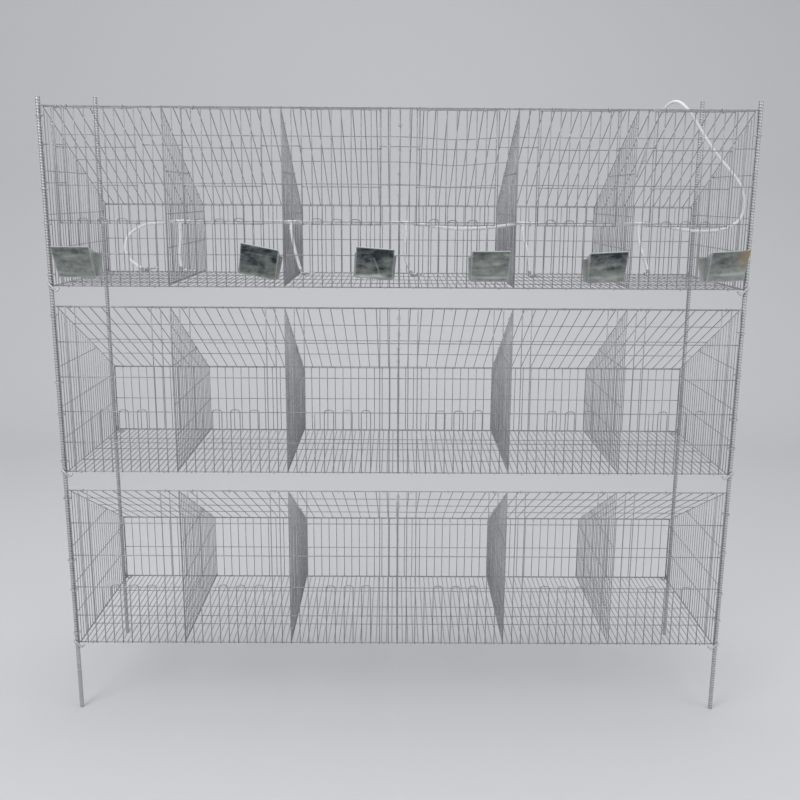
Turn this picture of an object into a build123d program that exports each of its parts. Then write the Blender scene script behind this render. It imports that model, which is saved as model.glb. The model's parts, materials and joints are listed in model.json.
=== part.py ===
from build123d import *
import math
import os

# Three-tier cage of galvanised welded wire, in mm, +Z up, front toward -Y.
# The origin is on the floor, under the middle of the whole object.

# Tier sizes, read from the photo with the mesh pitches as the ruler
CELLS = 6
CELL = 300.0
LENGTH = CELLS * CELL
DEPTH = 480.0
FRONT_H = 450.0
BACK_H = 203.0
TIERS = ("lower", "middle", "upper")
TIER_PITCH = 504.0
LEG_H = 205.0

# Wire diameters, and the least room between two pieces
FRONT_WIRE = 2.6
MESH_WIRE = 2.2
SIDE_WIRE = 2.0
CLEAR = 0.3

# Mesh pitches and rail heights above the tier floor
FRONT_PITCH = 25.0
FLOOR_PITCH = 15.0
ROOF_PITCH = 30.0
SIDE_WIRE_COUNT = 25
CROSS_WIRE_COUNT = 5
HOOK_RAIL = 82.0
LOOP_RAIL = 167.0
RAIL_STEP = (FRONT_H - LOOP_RAIL) / 3
DOOR_STOPS = (LOOP_RAIL + RAIL_STEP, LOOP_RAIL + 2 * RAIL_STEP)
SIDE_RAILS = (0.0, 95.0, 182.0, 290.0)
BACK_RAILS = (0.0, BACK_H / 2, BACK_H)
FULL_BARS = (0, 1, 2, 10, 11, 12)
SHORT_BAR = 3
HAIRPIN_BARS = (4, 6, 8)
HAIRPIN_RISE = 7.0
HAIRPIN_CORNER = 8.0

# Doors: each hangs a little under the rails behind it, and a little to one side, as in the photo
DOOR_BARS = range(2, 11)
DOOR_SAG = 6.0
DOOR_RAILS = tuple(LOOP_RAIL + RAIL_STEP * i - DOOR_SAG for i in range(4))
DOOR_SHIFTS = (-17.0, 0.0, 2.0, -7.0, 4.0, -9.0)
DOOR_OVERHANG = 2.0
RING_SPOTS = (80.0, 220.0)
RING_WIRE = 2.0
RING_ROOM = 2.5
RING_BENDS = (105, 55, 5, -45)
RING_OVER = 1.8
RING_UNDER = 3.2

# Posts and their V cradles
POST_D = 12.0
POST_OVER_FRONT = 22.0
POST_OVER_BACK = 67.0
CRADLE_ROD = 6.0
CRADLE_DROP = 13.0
CRADLE_INSET = 5.5
CRADLE_IN = 9.0
CRADLE_OUT = 18.0
CRADLE_RISE = 21.0
CLIP_LEFT = (28.0, 158.0, 246.0, 426.0)
CLIP_RIGHT = (72.0, 152.0, 274.0, 388.0)
CLIP_BACK = (40.0, 150.0)
CLIP_WIRE = 2.0

# Feed boxes as they hang in the photo: hook place along the front, tilt, drop, and the two ears' widths
FEEDERS = ((-833.0, 0.0, 0.0, 4.0, 17.0), (-357.5, 10.8, -3.0, 4.0, 8.0), (-62.0, 4.2, 0.0, 5.0, 6.0),
           (233.0, -0.4, 6.0, 6.0, 5.0), (533.0, -3.2, 7.0, 11.0, 5.0), (842.5, -3.3, 2.5, 18.0, 3.5))
FEEDER_W = 97.0
FEEDER_TOP = 105.0
FEEDER_BOTTOM = 23.0
FEEDER_REACH = 56.0
FEEDER_FOOT = 8.0
FEEDER_SIDE_BACK = 86.0
FEEDER_WALL_BACK = 58.0
FEEDER_OVER = 5.0
SHEET = 0.8
HEM_T = 1.2
HEM_H = 4.0
EAR_TAPER = 0.8
EAR_LOW = 3.0
STRAP_W = 10.0
STRAP_DROP = 11.0

# Water line: every route was read from the photo, in the plane of the hose
HOSE_D = 8.0
HOSE_CORNER = 4.4
HOSE_GAP = 0.7
LINE_IN = 14.0
LINE_H = LOOP_RAIL - 1.0
TEE_SPOTS = (-567.0, -280.0, 17.0, 320.0, 620.0)
TEE_D = 10.0
TEE_RUN = 26.0
TEE_LEG = 20.0
MAIN_SAGS = (2.0, 2.5, 15.0, 3.0)
MAIN_SHAPE = ((0.0, 0.0), (0.3, 1.0), (0.7, 1.0), (1.0, 0.0))
# across from each tee, and height over the tier floor
DROP_POINTS = (
    ((-2.5, 112.0), (-4.5, 79.0), (-2.5, 51.0)),
    ((4.0, 113.0), (12.0, 77.0), (21.5, 46.0)),
    ((-3.0, 116.0), (-4.0, 88.0), (3.0, 63.0), (11.5, 43.0)),
    ((2.0, 127.0), (13.0, 104.0), (18.5, 75.0), (21.0, 44.0)),
    ((3.5, 117.0), (15.5, 90.0), (25.0, 64.0), (30.5, 49.0)))
# across from the middle, and height over the tier floor
TAIL_POINTS = ((-618.0, 161.5), (-654.0, 159.5), (-690.0, 143.0), (-709.0, 120.0), (-714.0, 93.0),
               (-705.0, 70.0), (-689.0, 56.0), (-675.0, 47.0))
# across, depth behind the front, and height over the tier floor
SUPPLY_LOW = ((676.0, 14.0, 164.5), (722.0, 14.0, 153.5), (768.0, 14.0, 149.0), (814.0, 14.0, 148.5),
              (857.0, 14.0, 158.5), (885.0, 14.0, 180.0), (892.0, 14.5, 211.0), (889.0, 15.0, 243.0),
              (871.0, 15.5, 277.0), (841.0, 16.5, 309.0))
# the same, with depth under the front's top rail
SUPPLY_TOP = ((808.0, 17.5, 105.0), (779.0, 18.5, 67.0), (752.0, 19.5, 27.0), (731.0, 23.0, -2.0),
              (714.0, 37.0, -22.0), (698.0, 58.0, -25.0), (685.0, 82.0, -9.0), (675.5, 121.0, 24.0))
# the same, with height over the hose's rest on the roof wires
SUPPLY_ROOF = ((673.5, 159.0, 14.0), (675.0, 197.0, 4.0), (680.0, 250.0, 0.0), (685.0, 322.0, 0.0))
TIE_SPOTS = (-537.5, -262.5, 37.5, 337.5, 637.5)
TIE_WIRE = 2.0
TIE_ROOM = 0.8
TIE_SLACK = 2.4
# Drinkers: an elbow on each drop's end; the turns are the nozzles' angles from level, in degrees
DRINKER_TURNS = (12.0, 0.0, 0.0, 2.0, -2.0, 183.0)
DRINKER_D = 9.0
DRINKER_LEG = 12.0
DRINKER_ARM = 14.0
NOZZLE_D = 5.0
NOZZLE_L = 16.0
PIN_D = 2.4
PIN_HEAD_D = 4.4
PIN_HEAD_L = 2.0
PIN_OUT = 5.0
PIN_TRAVEL = 1.5
PIN_ROOM = 0.1


def wide(wire):
    """Width of the three-sided section that stands for a round wire of the same area."""
    return 1.25 * wire


def tall(wire):
    """Height of that section, from the weld plane to its ridge."""
    return math.pi * wire * wire / 2 / wide(wire)


def span(first, last, count):
    """Evenly spaced places from first to last."""
    return [first + (last - first) * i / (count - 1) for i in range(count)]


def bars(plane, spots, wire, length):
    """Parallel wires: three-sided sections on one sketch, flat side on the weld plane, drawn out together."""
    half = wide(wire) / 2
    with BuildPart() as run:
        with BuildSketch(plane):
            with Locations(*spots):
                Polygon((-half, 0), (half, 0), (0, tall(wire)), align=None)
        extrude(amount=length)
    return list(run.part.solids())


def band(points, thick):
    """Outline of a bent rod: its middle line moved half the thickness to both sides, with mitred corners."""
    left, right = [], []
    for i, (px, py) in enumerate(points):
        before = points[i - 1] if i else None
        after = points[i + 1] if i + 1 < len(points) else None
        ways = []
        for a, b in ((before, (px, py)), ((px, py), after)):
            if a is not None and b is not None:
                size = math.hypot(b[0] - a[0], b[1] - a[1])
                ways.append(((b[0] - a[0]) / size, (b[1] - a[1]) / size))
        nx = -sum(w[1] for w in ways) / len(ways)
        ny = sum(w[0] for w in ways) / len(ways)
        grow = thick / 2 / (nx * nx + ny * ny)
        left.append((px + nx * grow, py + ny * grow))
        right.append((px - nx * grow, py - ny * grow))
    return left + right[::-1]


def bent(plane, outlines, thick):
    """Bent rods cut as flat outlines and drawn out to the rod's thickness."""
    with BuildPart() as rods:
        with BuildSketch(plane):
            for outline in outlines:
                with BuildLine():
                    Polyline(*outline, close=True)
                make_face()
        extrude(amount=thick)
    return list(rods.part.solids())


def moved(solids, x, y, z):
    """Copies of the solids at another place."""
    return [Pos(x, y, z) * solid for solid in solids]


def save(node, solids):
    """Write one node as a group of separate solids."""
    group = Compound(solids, label=node)
    export_step(group, f"parts/{node}.step")


os.makedirs("parts", exist_ok=True)

# Places that several pieces share
FRONT_REACH = FEEDER_REACH + HEM_T + tall(FRONT_WIRE) + CLEAR
FRONT_Y = FRONT_REACH - (FRONT_REACH + DEPTH + CRADLE_ROD) / 2
BACK_Y = FRONT_Y + DEPTH
END_X = LENGTH / 2
FLOORS = [LEG_H + TIER_PITCH * i for i in range(len(TIERS))]
UPPER = FLOORS[-1]
FRONT_POST_H = UPPER + FRONT_H + POST_OVER_FRONT
BACK_POST_H = UPPER + FRONT_H + POST_OVER_BACK
INNER_FRONT = FRONT_Y + tall(FRONT_WIRE) + CLEAR
INNER_BACK = BACK_Y - tall(MESH_WIRE) - CLEAR
INNER_X = END_X - tall(SIDE_WIRE) - CLEAR
SLOPE = (FRONT_H - BACK_H) / DEPTH
LEAN = math.atan(SLOPE)
DOWN_ROOF = Vector(0, math.cos(LEAN), -math.sin(LEAN))
ROOF_UP = Vector(0, math.sin(LEAN), math.cos(LEAN))
HINGE_Y = FRONT_Y + tall(FRONT_WIRE) * 0.37
HINGE_Z = UPPER + FRONT_H
RING_R = RING_ROOM + RING_WIRE / 2
ROOF_START = HINGE_Y + RING_R + RING_WIRE / 2 + CLEAR + 0.5
LINE_Y = FRONT_Y + LINE_IN
LINE_Z = UPPER + LINE_H

# Front panels: rails inside the weld plane, uprights outside it
rail_len = LENGTH - 2 * CLEAR
upright_low = -wide(FRONT_WIRE) / 2
all_bars = [c * CELL + b * FRONT_PITCH - END_X for c in range(CELLS) for b in FULL_BARS[:-1]] + [END_X]
full_uprights = bars(
    Plane(origin=(0, FRONT_Y, upright_low), x_dir=(-1, 0, 0), z_dir=(0, 0, 1)),
    [(-x, 0) for x in all_bars], FRONT_WIRE, FRONT_H + wide(FRONT_WIRE))
pin_top = LOOP_RAIL + HAIRPIN_RISE


def low_wires(way):
    """Short bars and hairpins up to the loop rail; way is -1 for a panel fitted turned end for end."""
    starts = [way * (c * CELL - END_X) for c in range(CELLS)]
    solids = bars(
        Plane(origin=(0, FRONT_Y, upright_low), x_dir=(-1, 0, 0), z_dir=(0, 0, 1)),
        [(-(x + way * SHORT_BAR * FRONT_PITCH), 0) for x in starts], FRONT_WIRE, LOOP_RAIL + wide(FRONT_WIRE))
    outlines = []
    for x in starts:
        for b in HAIRPIN_BARS:
            x0 = x + way * b * FRONT_PITCH
            x1 = x0 + way * FRONT_PITCH
            corner = way * HAIRPIN_CORNER
            outlines.append(band([
                (x0, upright_low), (x0, pin_top - HAIRPIN_CORNER), (x0 + corner, pin_top),
                (x1 - corner, pin_top), (x1, pin_top - HAIRPIN_CORNER), (x1, upright_low)], FRONT_WIRE))
    face = Plane(origin=(0, FRONT_Y, 0), x_dir=(1, 0, 0), z_dir=(0, -1, 0))
    return solids + bent(face, outlines, math.pi * FRONT_WIRE / 4)


whole_rails = bars(
    Plane(origin=(-rail_len / 2, FRONT_Y, 0), x_dir=(0, 0, -1), z_dir=(1, 0, 0)),
    [(-z, 0) for z in (0, HOOK_RAIL, LOOP_RAIL, *DOOR_STOPS, FRONT_H)], FRONT_WIRE, rail_len)
low_rails = bars(
    Plane(origin=(-rail_len / 2, FRONT_Y, 0), x_dir=(0, 0, -1), z_dir=(1, 0, 0)),
    [(-z, 0) for z in (0, HOOK_RAIL, LOOP_RAIL, FRONT_H)], FRONT_WIRE, rail_len)
open_w = (DOOR_BARS[-1] - DOOR_BARS[0]) * FRONT_PITCH
stub_len = CELL - open_w + wide(FRONT_WIRE)
edge_len = DOOR_BARS[0] * FRONT_PITCH - CLEAR + wide(FRONT_WIRE) / 2
cut_rails = []
for c in range(CELLS - 1):
    start = (c + 1) * CELL - (CELL - open_w) / 2 - wide(FRONT_WIRE) / 2 - END_X
    cut_rails += bars(
        Plane(origin=(start, FRONT_Y, 0), x_dir=(0, 0, -1), z_dir=(1, 0, 0)),
        [(-z, 0) for z in DOOR_STOPS], FRONT_WIRE, stub_len)
for start in (-END_X + CLEAR, END_X - CLEAR - edge_len):
    cut_rails += bars(
        Plane(origin=(start, FRONT_Y, 0), x_dir=(0, 0, -1), z_dir=(1, 0, 0)),
        [(-z, 0) for z in DOOR_STOPS], FRONT_WIRE, edge_len)

# Floor panel: wires front to back on top, cross wires under them
floor_len = INNER_BACK - INNER_FRONT
floor_edge = INNER_X - wide(MESH_WIRE) / 2
floor_count = int(LENGTH / FLOOR_PITCH) - 1
floor_spots = [-floor_edge] + [(i + 1) * FLOOR_PITCH - END_X for i in range(floor_count)] + [floor_edge]
floor_bars = bars(
    Plane(origin=(0, INNER_FRONT, 0), x_dir=(-1, 0, 0), z_dir=(0, 1, 0)),
    [(-x, 0) for x in floor_spots], MESH_WIRE, floor_len)
cross_len = 2 * INNER_X
cross_spots = span(INNER_FRONT + wide(MESH_WIRE) / 2, INNER_BACK - wide(MESH_WIRE) / 2, CROSS_WIRE_COUNT)
floor_cross = bars(
    Plane(origin=(-INNER_X, 0, 0), x_dir=(0, -1, 0), z_dir=(1, 0, 0)),
    [(-y, 0) for y in cross_spots], MESH_WIRE, cross_len)

# Roof panel: wires front to back under the sloping weld plane, cross wires on top
roof_from = Vector(0, ROOF_START, FRONT_H - SLOPE * (ROOF_START - FRONT_Y))
roof_len = (INNER_BACK - ROOF_START) / math.cos(LEAN)
roof_count = int(LENGTH / ROOF_PITCH) - 1
roof_spots = [-floor_edge] + [(i + 1) * ROOF_PITCH - END_X for i in range(roof_count)] + [floor_edge]
roof_bars = bars(
    Plane(origin=roof_from, x_dir=(1, 0, 0), z_dir=DOWN_ROOF),
    [(x, 0) for x in roof_spots], MESH_WIRE, roof_len)
roof_cross = bars(
    Plane(origin=Vector(-INNER_X, roof_from.Y, roof_from.Z), x_dir=DOWN_ROOF, z_dir=(1, 0, 0)),
    [(s, 0) for s in span(wide(MESH_WIRE) / 2, roof_len - wide(MESH_WIRE) / 2, CROSS_WIRE_COUNT)],
    MESH_WIRE, cross_len)

# Back panel: uprights outside, rails inside
back_low = -wide(MESH_WIRE) / 2
back_spots = span(-END_X, END_X, int(LENGTH / FRONT_PITCH) + 1)
back_uprights = bars(
    Plane(origin=(0, BACK_Y, back_low), x_dir=(1, 0, 0), z_dir=(0, 0, 1)),
    [(x, 0) for x in back_spots], MESH_WIRE, BACK_H + wide(MESH_WIRE))
back_rails = bars(
    Plane(origin=(-rail_len / 2, BACK_Y, 0), x_dir=(0, 0, 1), z_dir=(1, 0, 0)),
    [(z, 0) for z in BACK_RAILS], MESH_WIRE, rail_len)


def side_panel(low, drop, first, last, outward):
    """One end panel or divider at x = 0: uprights outward, trimmed under the roof, and rails inward."""
    half = wide(SIDE_WIRE) / 2
    trim = Plane(origin=(0, FRONT_Y, FRONT_H - drop), z_dir=ROOF_UP)
    with BuildPart() as uprights:
        with BuildSketch(Plane(origin=(0, 0, low), x_dir=(0, outward, 0), z_dir=(0, 0, 1))):
            with Locations(*[(outward * y, 0) for y in span(first + half, last - half, SIDE_WIRE_COUNT)]):
                Polygon((-half, 0), (half, 0), (0, -tall(SIDE_WIRE)), align=None)
        extrude(amount=FRONT_H)
        split(bisect_by=trim, keep=Keep.BOTTOM)
    with BuildPart() as rails:
        with BuildSketch(Plane(origin=(0, INNER_FRONT, 0), x_dir=(0, 0, outward), z_dir=(0, 1, 0))):
            with Locations(*[(outward * (low + half + z * (1 - low / FRONT_H)), 0) for z in SIDE_RAILS]):
                Polygon((-half, 0), (half, 0), (0, -tall(SIDE_WIRE)), align=None)
        extrude(amount=INNER_BACK - INNER_FRONT)
        split(bisect_by=trim, keep=Keep.BOTTOM)
    return list(uprights.part.solids()) + list(rails.part.solids())


end_low = -wide(SIDE_WIRE) / 2
right_end = moved(side_panel(end_low, 0, FRONT_Y + CLEAR, BACK_Y - CLEAR, 1), END_X, 0, 0)
left_end = moved(side_panel(end_low, 0, FRONT_Y + CLEAR, BACK_Y - CLEAR, -1), -END_X, 0, 0)
divider_low = tall(MESH_WIRE) + CLEAR
divider_drop = (tall(MESH_WIRE) + CLEAR) / math.cos(LEAN)
divider = side_panel(divider_low, divider_drop, INNER_FRONT, INNER_BACK, 1)

for tier, floor in zip(TIERS, FLOORS):
    rails = low_rails + cut_rails + low_wires(-1) if tier == "upper" else whole_rails + low_wires(1)
    save(f"{tier}_front_panel", moved(full_uprights + rails, 0, 0, floor))
    save(f"{tier}_floor_panel", moved(floor_bars + floor_cross, 0, 0, floor))
    save(f"{tier}_roof_panel", moved(roof_bars + roof_cross, 0, 0, floor))
    save(f"{tier}_back_panel", moved(back_uprights + back_rails, 0, 0, floor))
    save(f"{tier}_left_end_panel", moved(left_end, 0, 0, floor))
    save(f"{tier}_right_end_panel", moved(right_end, 0, 0, floor))
    for i in range(CELLS - 1):
        save(f"{tier}_divider_{i + 1}", moved(divider, (i + 1) * CELL - END_X, 0, floor))

# Doors: rails just in front of the front panel, bars in front of the rails, two rings round the top rail
door_weld = FRONT_Y - 2 * tall(FRONT_WIRE) - CLEAR
door_len = open_w + 2 * DOOR_OVERHANG
door_low = DOOR_RAILS[0] - wide(FRONT_WIRE) / 2
door_bars = bars(
    Plane(origin=(0, door_weld, UPPER + door_low), x_dir=(-1, 0, 0), z_dir=(0, 0, 1)),
    [(-(b * FRONT_PITCH - CELL / 2), 0) for b in DOOR_BARS], FRONT_WIRE,
    DOOR_RAILS[-1] - DOOR_RAILS[0] + wide(FRONT_WIRE))
door_rails = bars(
    Plane(origin=(-door_len / 2, door_weld, UPPER), x_dir=(0, 0, -1), z_dir=(1, 0, 0)),
    [(-z, 0) for z in DOOR_RAILS], FRONT_WIRE, door_len)
ring_bend = RING_R / math.cos(math.radians(25))
ring_path = [(ring_bend * math.cos(math.radians(a)), ring_bend * math.sin(math.radians(a)))
             for a in RING_BENDS]
rail_low = DOOR_RAILS[-1] - FRONT_H - wide(FRONT_WIRE) / 2
front_leg = door_weld - HINGE_Y - CLEAR - RING_WIRE / 2
ring_line = [(front_leg, rail_low + wide(FRONT_WIRE) + RING_OVER)]
ring_line += ring_path + [(front_leg, rail_low - RING_UNDER)]
door_rings = []
for spot in RING_SPOTS:
    door_rings += bent(
        Plane(origin=(spot - CELL / 2 - RING_WIRE / 2, HINGE_Y, HINGE_Z), x_dir=(0, 1, 0), z_dir=(1, 0, 0)),
        [band(ring_line, RING_WIRE)], RING_WIRE)
for c in range(CELLS):
    door_x = (c + 0.5) * CELL - END_X + DOOR_SHIFTS[c]
    save(f"door_{c + 1}", moved(door_bars + door_rails + door_rings, door_x, 0, 0))

# Posts: ribbed bar kept as eight flats (the ribs are in scene.py), each with three V cradles
post_x = END_X + tall(SIDE_WIRE) + CLEAR + POST_D / 2
cradle_low = -wide(FRONT_WIRE) / 2 - CLEAR - CRADLE_DROP
vertex_x = END_X - CRADLE_INSET
cradle_line = [(-CRADLE_IN, CRADLE_IN), (0, 0), (CRADLE_OUT, CRADLE_RISE)]


def post(side, y, height, cradle_y):
    """One post with its cradles: side is -1 for left and 1 for right."""
    with BuildPart() as bar:
        with BuildSketch(Plane(origin=(side * post_x, y, 0))):
            RegularPolygon(POST_D / 2, 8, major_radius=False, rotation=22.5)
        extrude(amount=height)
    solids = list(bar.part.solids())
    for floor in FLOORS:
        outline = [(side * (vertex_x + x), floor + cradle_low + z) for x, z in band(cradle_line, CRADLE_ROD)]
        solids += bent(
            Plane(origin=(0, cradle_y + CRADLE_ROD, 0), x_dir=(1, 0, 0), z_dir=(0, -1, 0)),
            [outline], CRADLE_ROD)
    return solids


front_post_y = FRONT_Y + POST_D / 2
back_post_y = BACK_Y - POST_D / 2
save("front_left_post", post(-1, front_post_y, FRONT_POST_H, FRONT_Y - CRADLE_ROD))
save("front_right_post", post(1, front_post_y, FRONT_POST_H, FRONT_Y - CRADLE_ROD))
save("back_left_post", post(-1, back_post_y, BACK_POST_H, BACK_Y))
save("back_right_post", post(1, back_post_y, BACK_POST_H, BACK_Y))


def clips(side, y_out, y_in, heights):
    """C-ring clips round one post, the end panel's first upright and the corner upright."""
    inner_x = END_X - wide(FRONT_WIRE) / 2 - CLEAR
    outer_x = post_x + POST_D / 2 + CLEAR
    mid_x = side * (inner_x + outer_x) / 2
    width = outer_x - inner_x
    rings = []
    for z in heights:
        with BuildPart() as ring:
            with BuildSketch(Plane(origin=(mid_x, (y_out + y_in) / 2, z - CLIP_WIRE / 2))):
                Rectangle(width + 2 * CLIP_WIRE, abs(y_in - y_out) + 2 * CLIP_WIRE)
                Rectangle(width, abs(y_in - y_out), mode=Mode.SUBTRACT)
            extrude(amount=CLIP_WIRE)
        rings += list(ring.part.solids())
    return rings


front_out = FRONT_Y - tall(FRONT_WIRE) - CLEAR
front_in = FRONT_Y + POST_D + CLEAR
back_out = BACK_Y + tall(MESH_WIRE) + CLEAR
back_in = BACK_Y - POST_D - CLEAR
clip_solids = []
for floor in FLOORS:
    clip_solids += clips(-1, front_out, front_in, [floor + z for z in CLIP_LEFT])
    clip_solids += clips(1, front_out, front_in, [floor + z for z in CLIP_RIGHT])
    clip_solids += clips(-1, back_out, back_in, [floor + z for z in CLIP_BACK])
    clip_solids += clips(1, back_out, back_in, [floor + z for z in CLIP_BACK])
tie_front = FRONT_Y - CLEAR
tie_deep = LINE_Y + HOSE_D / 2 + TIE_ROOM - tie_front
tie_high = HOSE_D + 2 * TIE_SLACK
for x in TIE_SPOTS:
    with BuildPart() as tie:
        with BuildSketch(Plane(origin=(x - TIE_WIRE / 2, tie_front + tie_deep / 2, LINE_Z),
                               x_dir=(0, 1, 0), z_dir=(1, 0, 0))):
            Rectangle(tie_deep + 2 * TIE_WIRE, tie_high + 2 * TIE_WIRE)
            Rectangle(tie_deep, tie_high, mode=Mode.SUBTRACT)
        extrude(amount=TIE_WIRE)
    clip_solids += list(tie.part.solids())
save("hog_rings", clip_solids)

# Feed boxes: folded sheet with a leaning front, ends, a low back wall and one strap hooked over a rail
hook_z = HOOK_RAIL + wide(FRONT_WIRE) / 2
box_back = -tall(FRONT_WIRE) - CLEAR
front_top = box_back - FEEDER_REACH
front_low = box_back - FEEDER_FOOT
lean_run = (front_low - front_top) / (FEEDER_TOP - FEEDER_BOTTOM)
sheet_shift = SHEET * math.hypot(1, lean_run)


def feeder(x, tilt, drop, ears):
    """One feed box: hung at x, turned by its tilt about the hook, and set lower by its drop."""
    section = Plane(origin=(0, 0, 0), x_dir=(0, 1, 0), z_dir=(1, 0, 0))
    lift = CLEAR + STRAP_W / 2 * abs(math.sin(math.radians(tilt)))
    top, bottom, side_back, wall_back = (
        h - drop for h in (FEEDER_TOP, FEEDER_BOTTOM, FEEDER_SIDE_BACK, FEEDER_WALL_BACK))
    over = top + FEEDER_OVER
    hem_low = front_top + HEM_H * lean_run
    with BuildPart() as box:
        with BuildSketch(section):
            Polygon((front_top, top), (front_low, bottom), (box_back, bottom), (box_back, side_back),
                    align=None)
        extrude(amount=FEEDER_W / 2, both=True)
        with BuildSketch(section):
            Polygon((front_top - FEEDER_OVER * lean_run + sheet_shift, over),
                    (front_low - SHEET * lean_run + sheet_shift, bottom + SHEET),
                    (box_back - SHEET, bottom + SHEET), (box_back - SHEET, over), align=None)
        extrude(amount=FEEDER_W / 2 - SHEET, both=True, mode=Mode.SUBTRACT)
        with BuildSketch(section):
            Polygon((box_back - 2 * SHEET, wall_back), (box_back + SHEET, wall_back),
                    (box_back + SHEET, over), (box_back - 2 * SHEET, over), align=None)
        extrude(amount=FEEDER_W / 2 - SHEET, both=True, mode=Mode.SUBTRACT)
        with BuildSketch(section):
            Polygon((front_top, top), (front_top - HEM_T, top), (hem_low - HEM_T, top - HEM_H),
                    (hem_low, top - HEM_H), align=None)
        extrude(amount=FEEDER_W / 2, both=True)
        strap_top = hook_z + lift
        strap_back = tall(FRONT_WIRE) + CLEAR
        with BuildSketch(section):
            Polygon((box_back - SHEET, wall_back - SHEET), (box_back, wall_back - SHEET),
                    (box_back, strap_top), (strap_back, strap_top), (strap_back, strap_top - STRAP_DROP),
                    (strap_back + SHEET, strap_top - STRAP_DROP), (strap_back + SHEET, strap_top + SHEET),
                    (box_back - SHEET, strap_top + SHEET), align=None)
        extrude(amount=STRAP_W / 2, both=True)
        with BuildSketch(Plane(origin=(0, box_back, 0), x_dir=(1, 0, 0), z_dir=(0, -1, 0))):
            for side, ear in zip((-1, 1), ears):
                with BuildLine():
                    Polyline((side * (FEEDER_W / 2 - SHEET), side_back),
                             (side * (FEEDER_W / 2 + ear), side_back),
                             (side * (FEEDER_W / 2 + ear * EAR_TAPER), bottom + EAR_LOW),
                             (side * (FEEDER_W / 2 - SHEET), bottom + EAR_LOW), close=True)
                make_face()
        extrude(amount=SHEET)
    hung = Pos(0, 0, hook_z) * Rot(0, tilt, 0) * Pos(0, 0, -hook_z) * box.part
    return [Pos(x, FRONT_Y, UPPER) * solid for solid in hung.solids()]


for i, (x, tilt, drop, *ears) in enumerate(FEEDERS):
    save(f"feeder_{i + 1}", feeder(x, tilt, drop, ears))

# Water line: every hose stretch runs through named points, joined by arcs as wide as the runs allow
tee_right = TEE_RUN / 2 + HOSE_GAP
leg_z = LINE_Z - TEE_LEG
main_routes = []
for a, b, sag in zip(TEE_SPOTS[:-1], TEE_SPOTS[1:], MAIN_SAGS):
    x0, x1 = a + tee_right, b - tee_right
    main_routes.append([(x0 + (x1 - x0) * t, LINE_Y, LINE_Z - sag * s) for t, s in MAIN_SHAPE])
drop_routes = []
for tee_x, points in zip(TEE_SPOTS, DROP_POINTS):
    route = [(tee_x, LINE_Y, leg_z - HOSE_GAP)]
    route += [(tee_x + x, LINE_Y, UPPER + z) for x, z in points]
    drop_routes.append(route)
tail_route = [(TEE_SPOTS[0] - tee_right, LINE_Y, LINE_Z)]
tail_route += [(x, LINE_Y, UPPER + z) for x, z in TAIL_POINTS]
drop_routes.insert(0, tail_route)
on_roof = (tall(MESH_WIRE) + HOSE_CORNER) / math.cos(LEAN) + CLEAR
supply_route = [(TEE_SPOTS[-1] + tee_right, LINE_Y, LINE_Z)]
supply_route += [(x, FRONT_Y + y, UPPER + z) for x, y, z in SUPPLY_LOW]
supply_route += [(x, FRONT_Y + y, UPPER + FRONT_H - drop) for x, y, drop in SUPPLY_TOP]
supply_route += [(x, FRONT_Y + y, UPPER + FRONT_H - SLOPE * y + on_roof + z) for x, y, z in SUPPLY_ROOF]


def hose(route):
    """One hose stretch: a five-sided rod along the route with wide arcs."""
    radii = []
    for a, b, c in zip(route[:-2], route[1:-1], route[2:]):
        first, second = Vector(b) - Vector(a), Vector(c) - Vector(b)
        half_turn = math.radians(first.get_angle(second)) / 2
        radii.append(0.45 * min(first.length, second.length) / math.tan(half_turn))
    with BuildPart() as rod:
        with BuildLine() as path:
            FilletPolyline(*route, radius=radii)
        with BuildSketch(Plane(origin=path.line @ 0, z_dir=path.line % 0)):
            RegularPolygon(HOSE_CORNER, 5)
        sweep()
    print("hose", [round(v) for v in route[0]], "radii", [round(r) for r in radii])
    return list(rod.part.solids())


water_line = []
for route in main_routes + drop_routes:
    water_line += hose(route)
save("water_line", water_line)
save("supply_hose", hose(supply_route))

tees = []
for x in TEE_SPOTS:
    with BuildPart() as tee:
        with BuildSketch(Plane(origin=(x - TEE_RUN / 2, LINE_Y, LINE_Z), x_dir=(0, 1, 0), z_dir=(1, 0, 0))):
            RegularPolygon(TEE_D / 2, 6, major_radius=False)
        extrude(amount=TEE_RUN)
        with BuildSketch(Plane(origin=(x, LINE_Y, leg_z))):
            RegularPolygon(TEE_D / 2, 6, major_radius=False)
        extrude(amount=TEE_LEG)
    tees += list(tee.part.solids())
save("hose_tees", tees)

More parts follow.
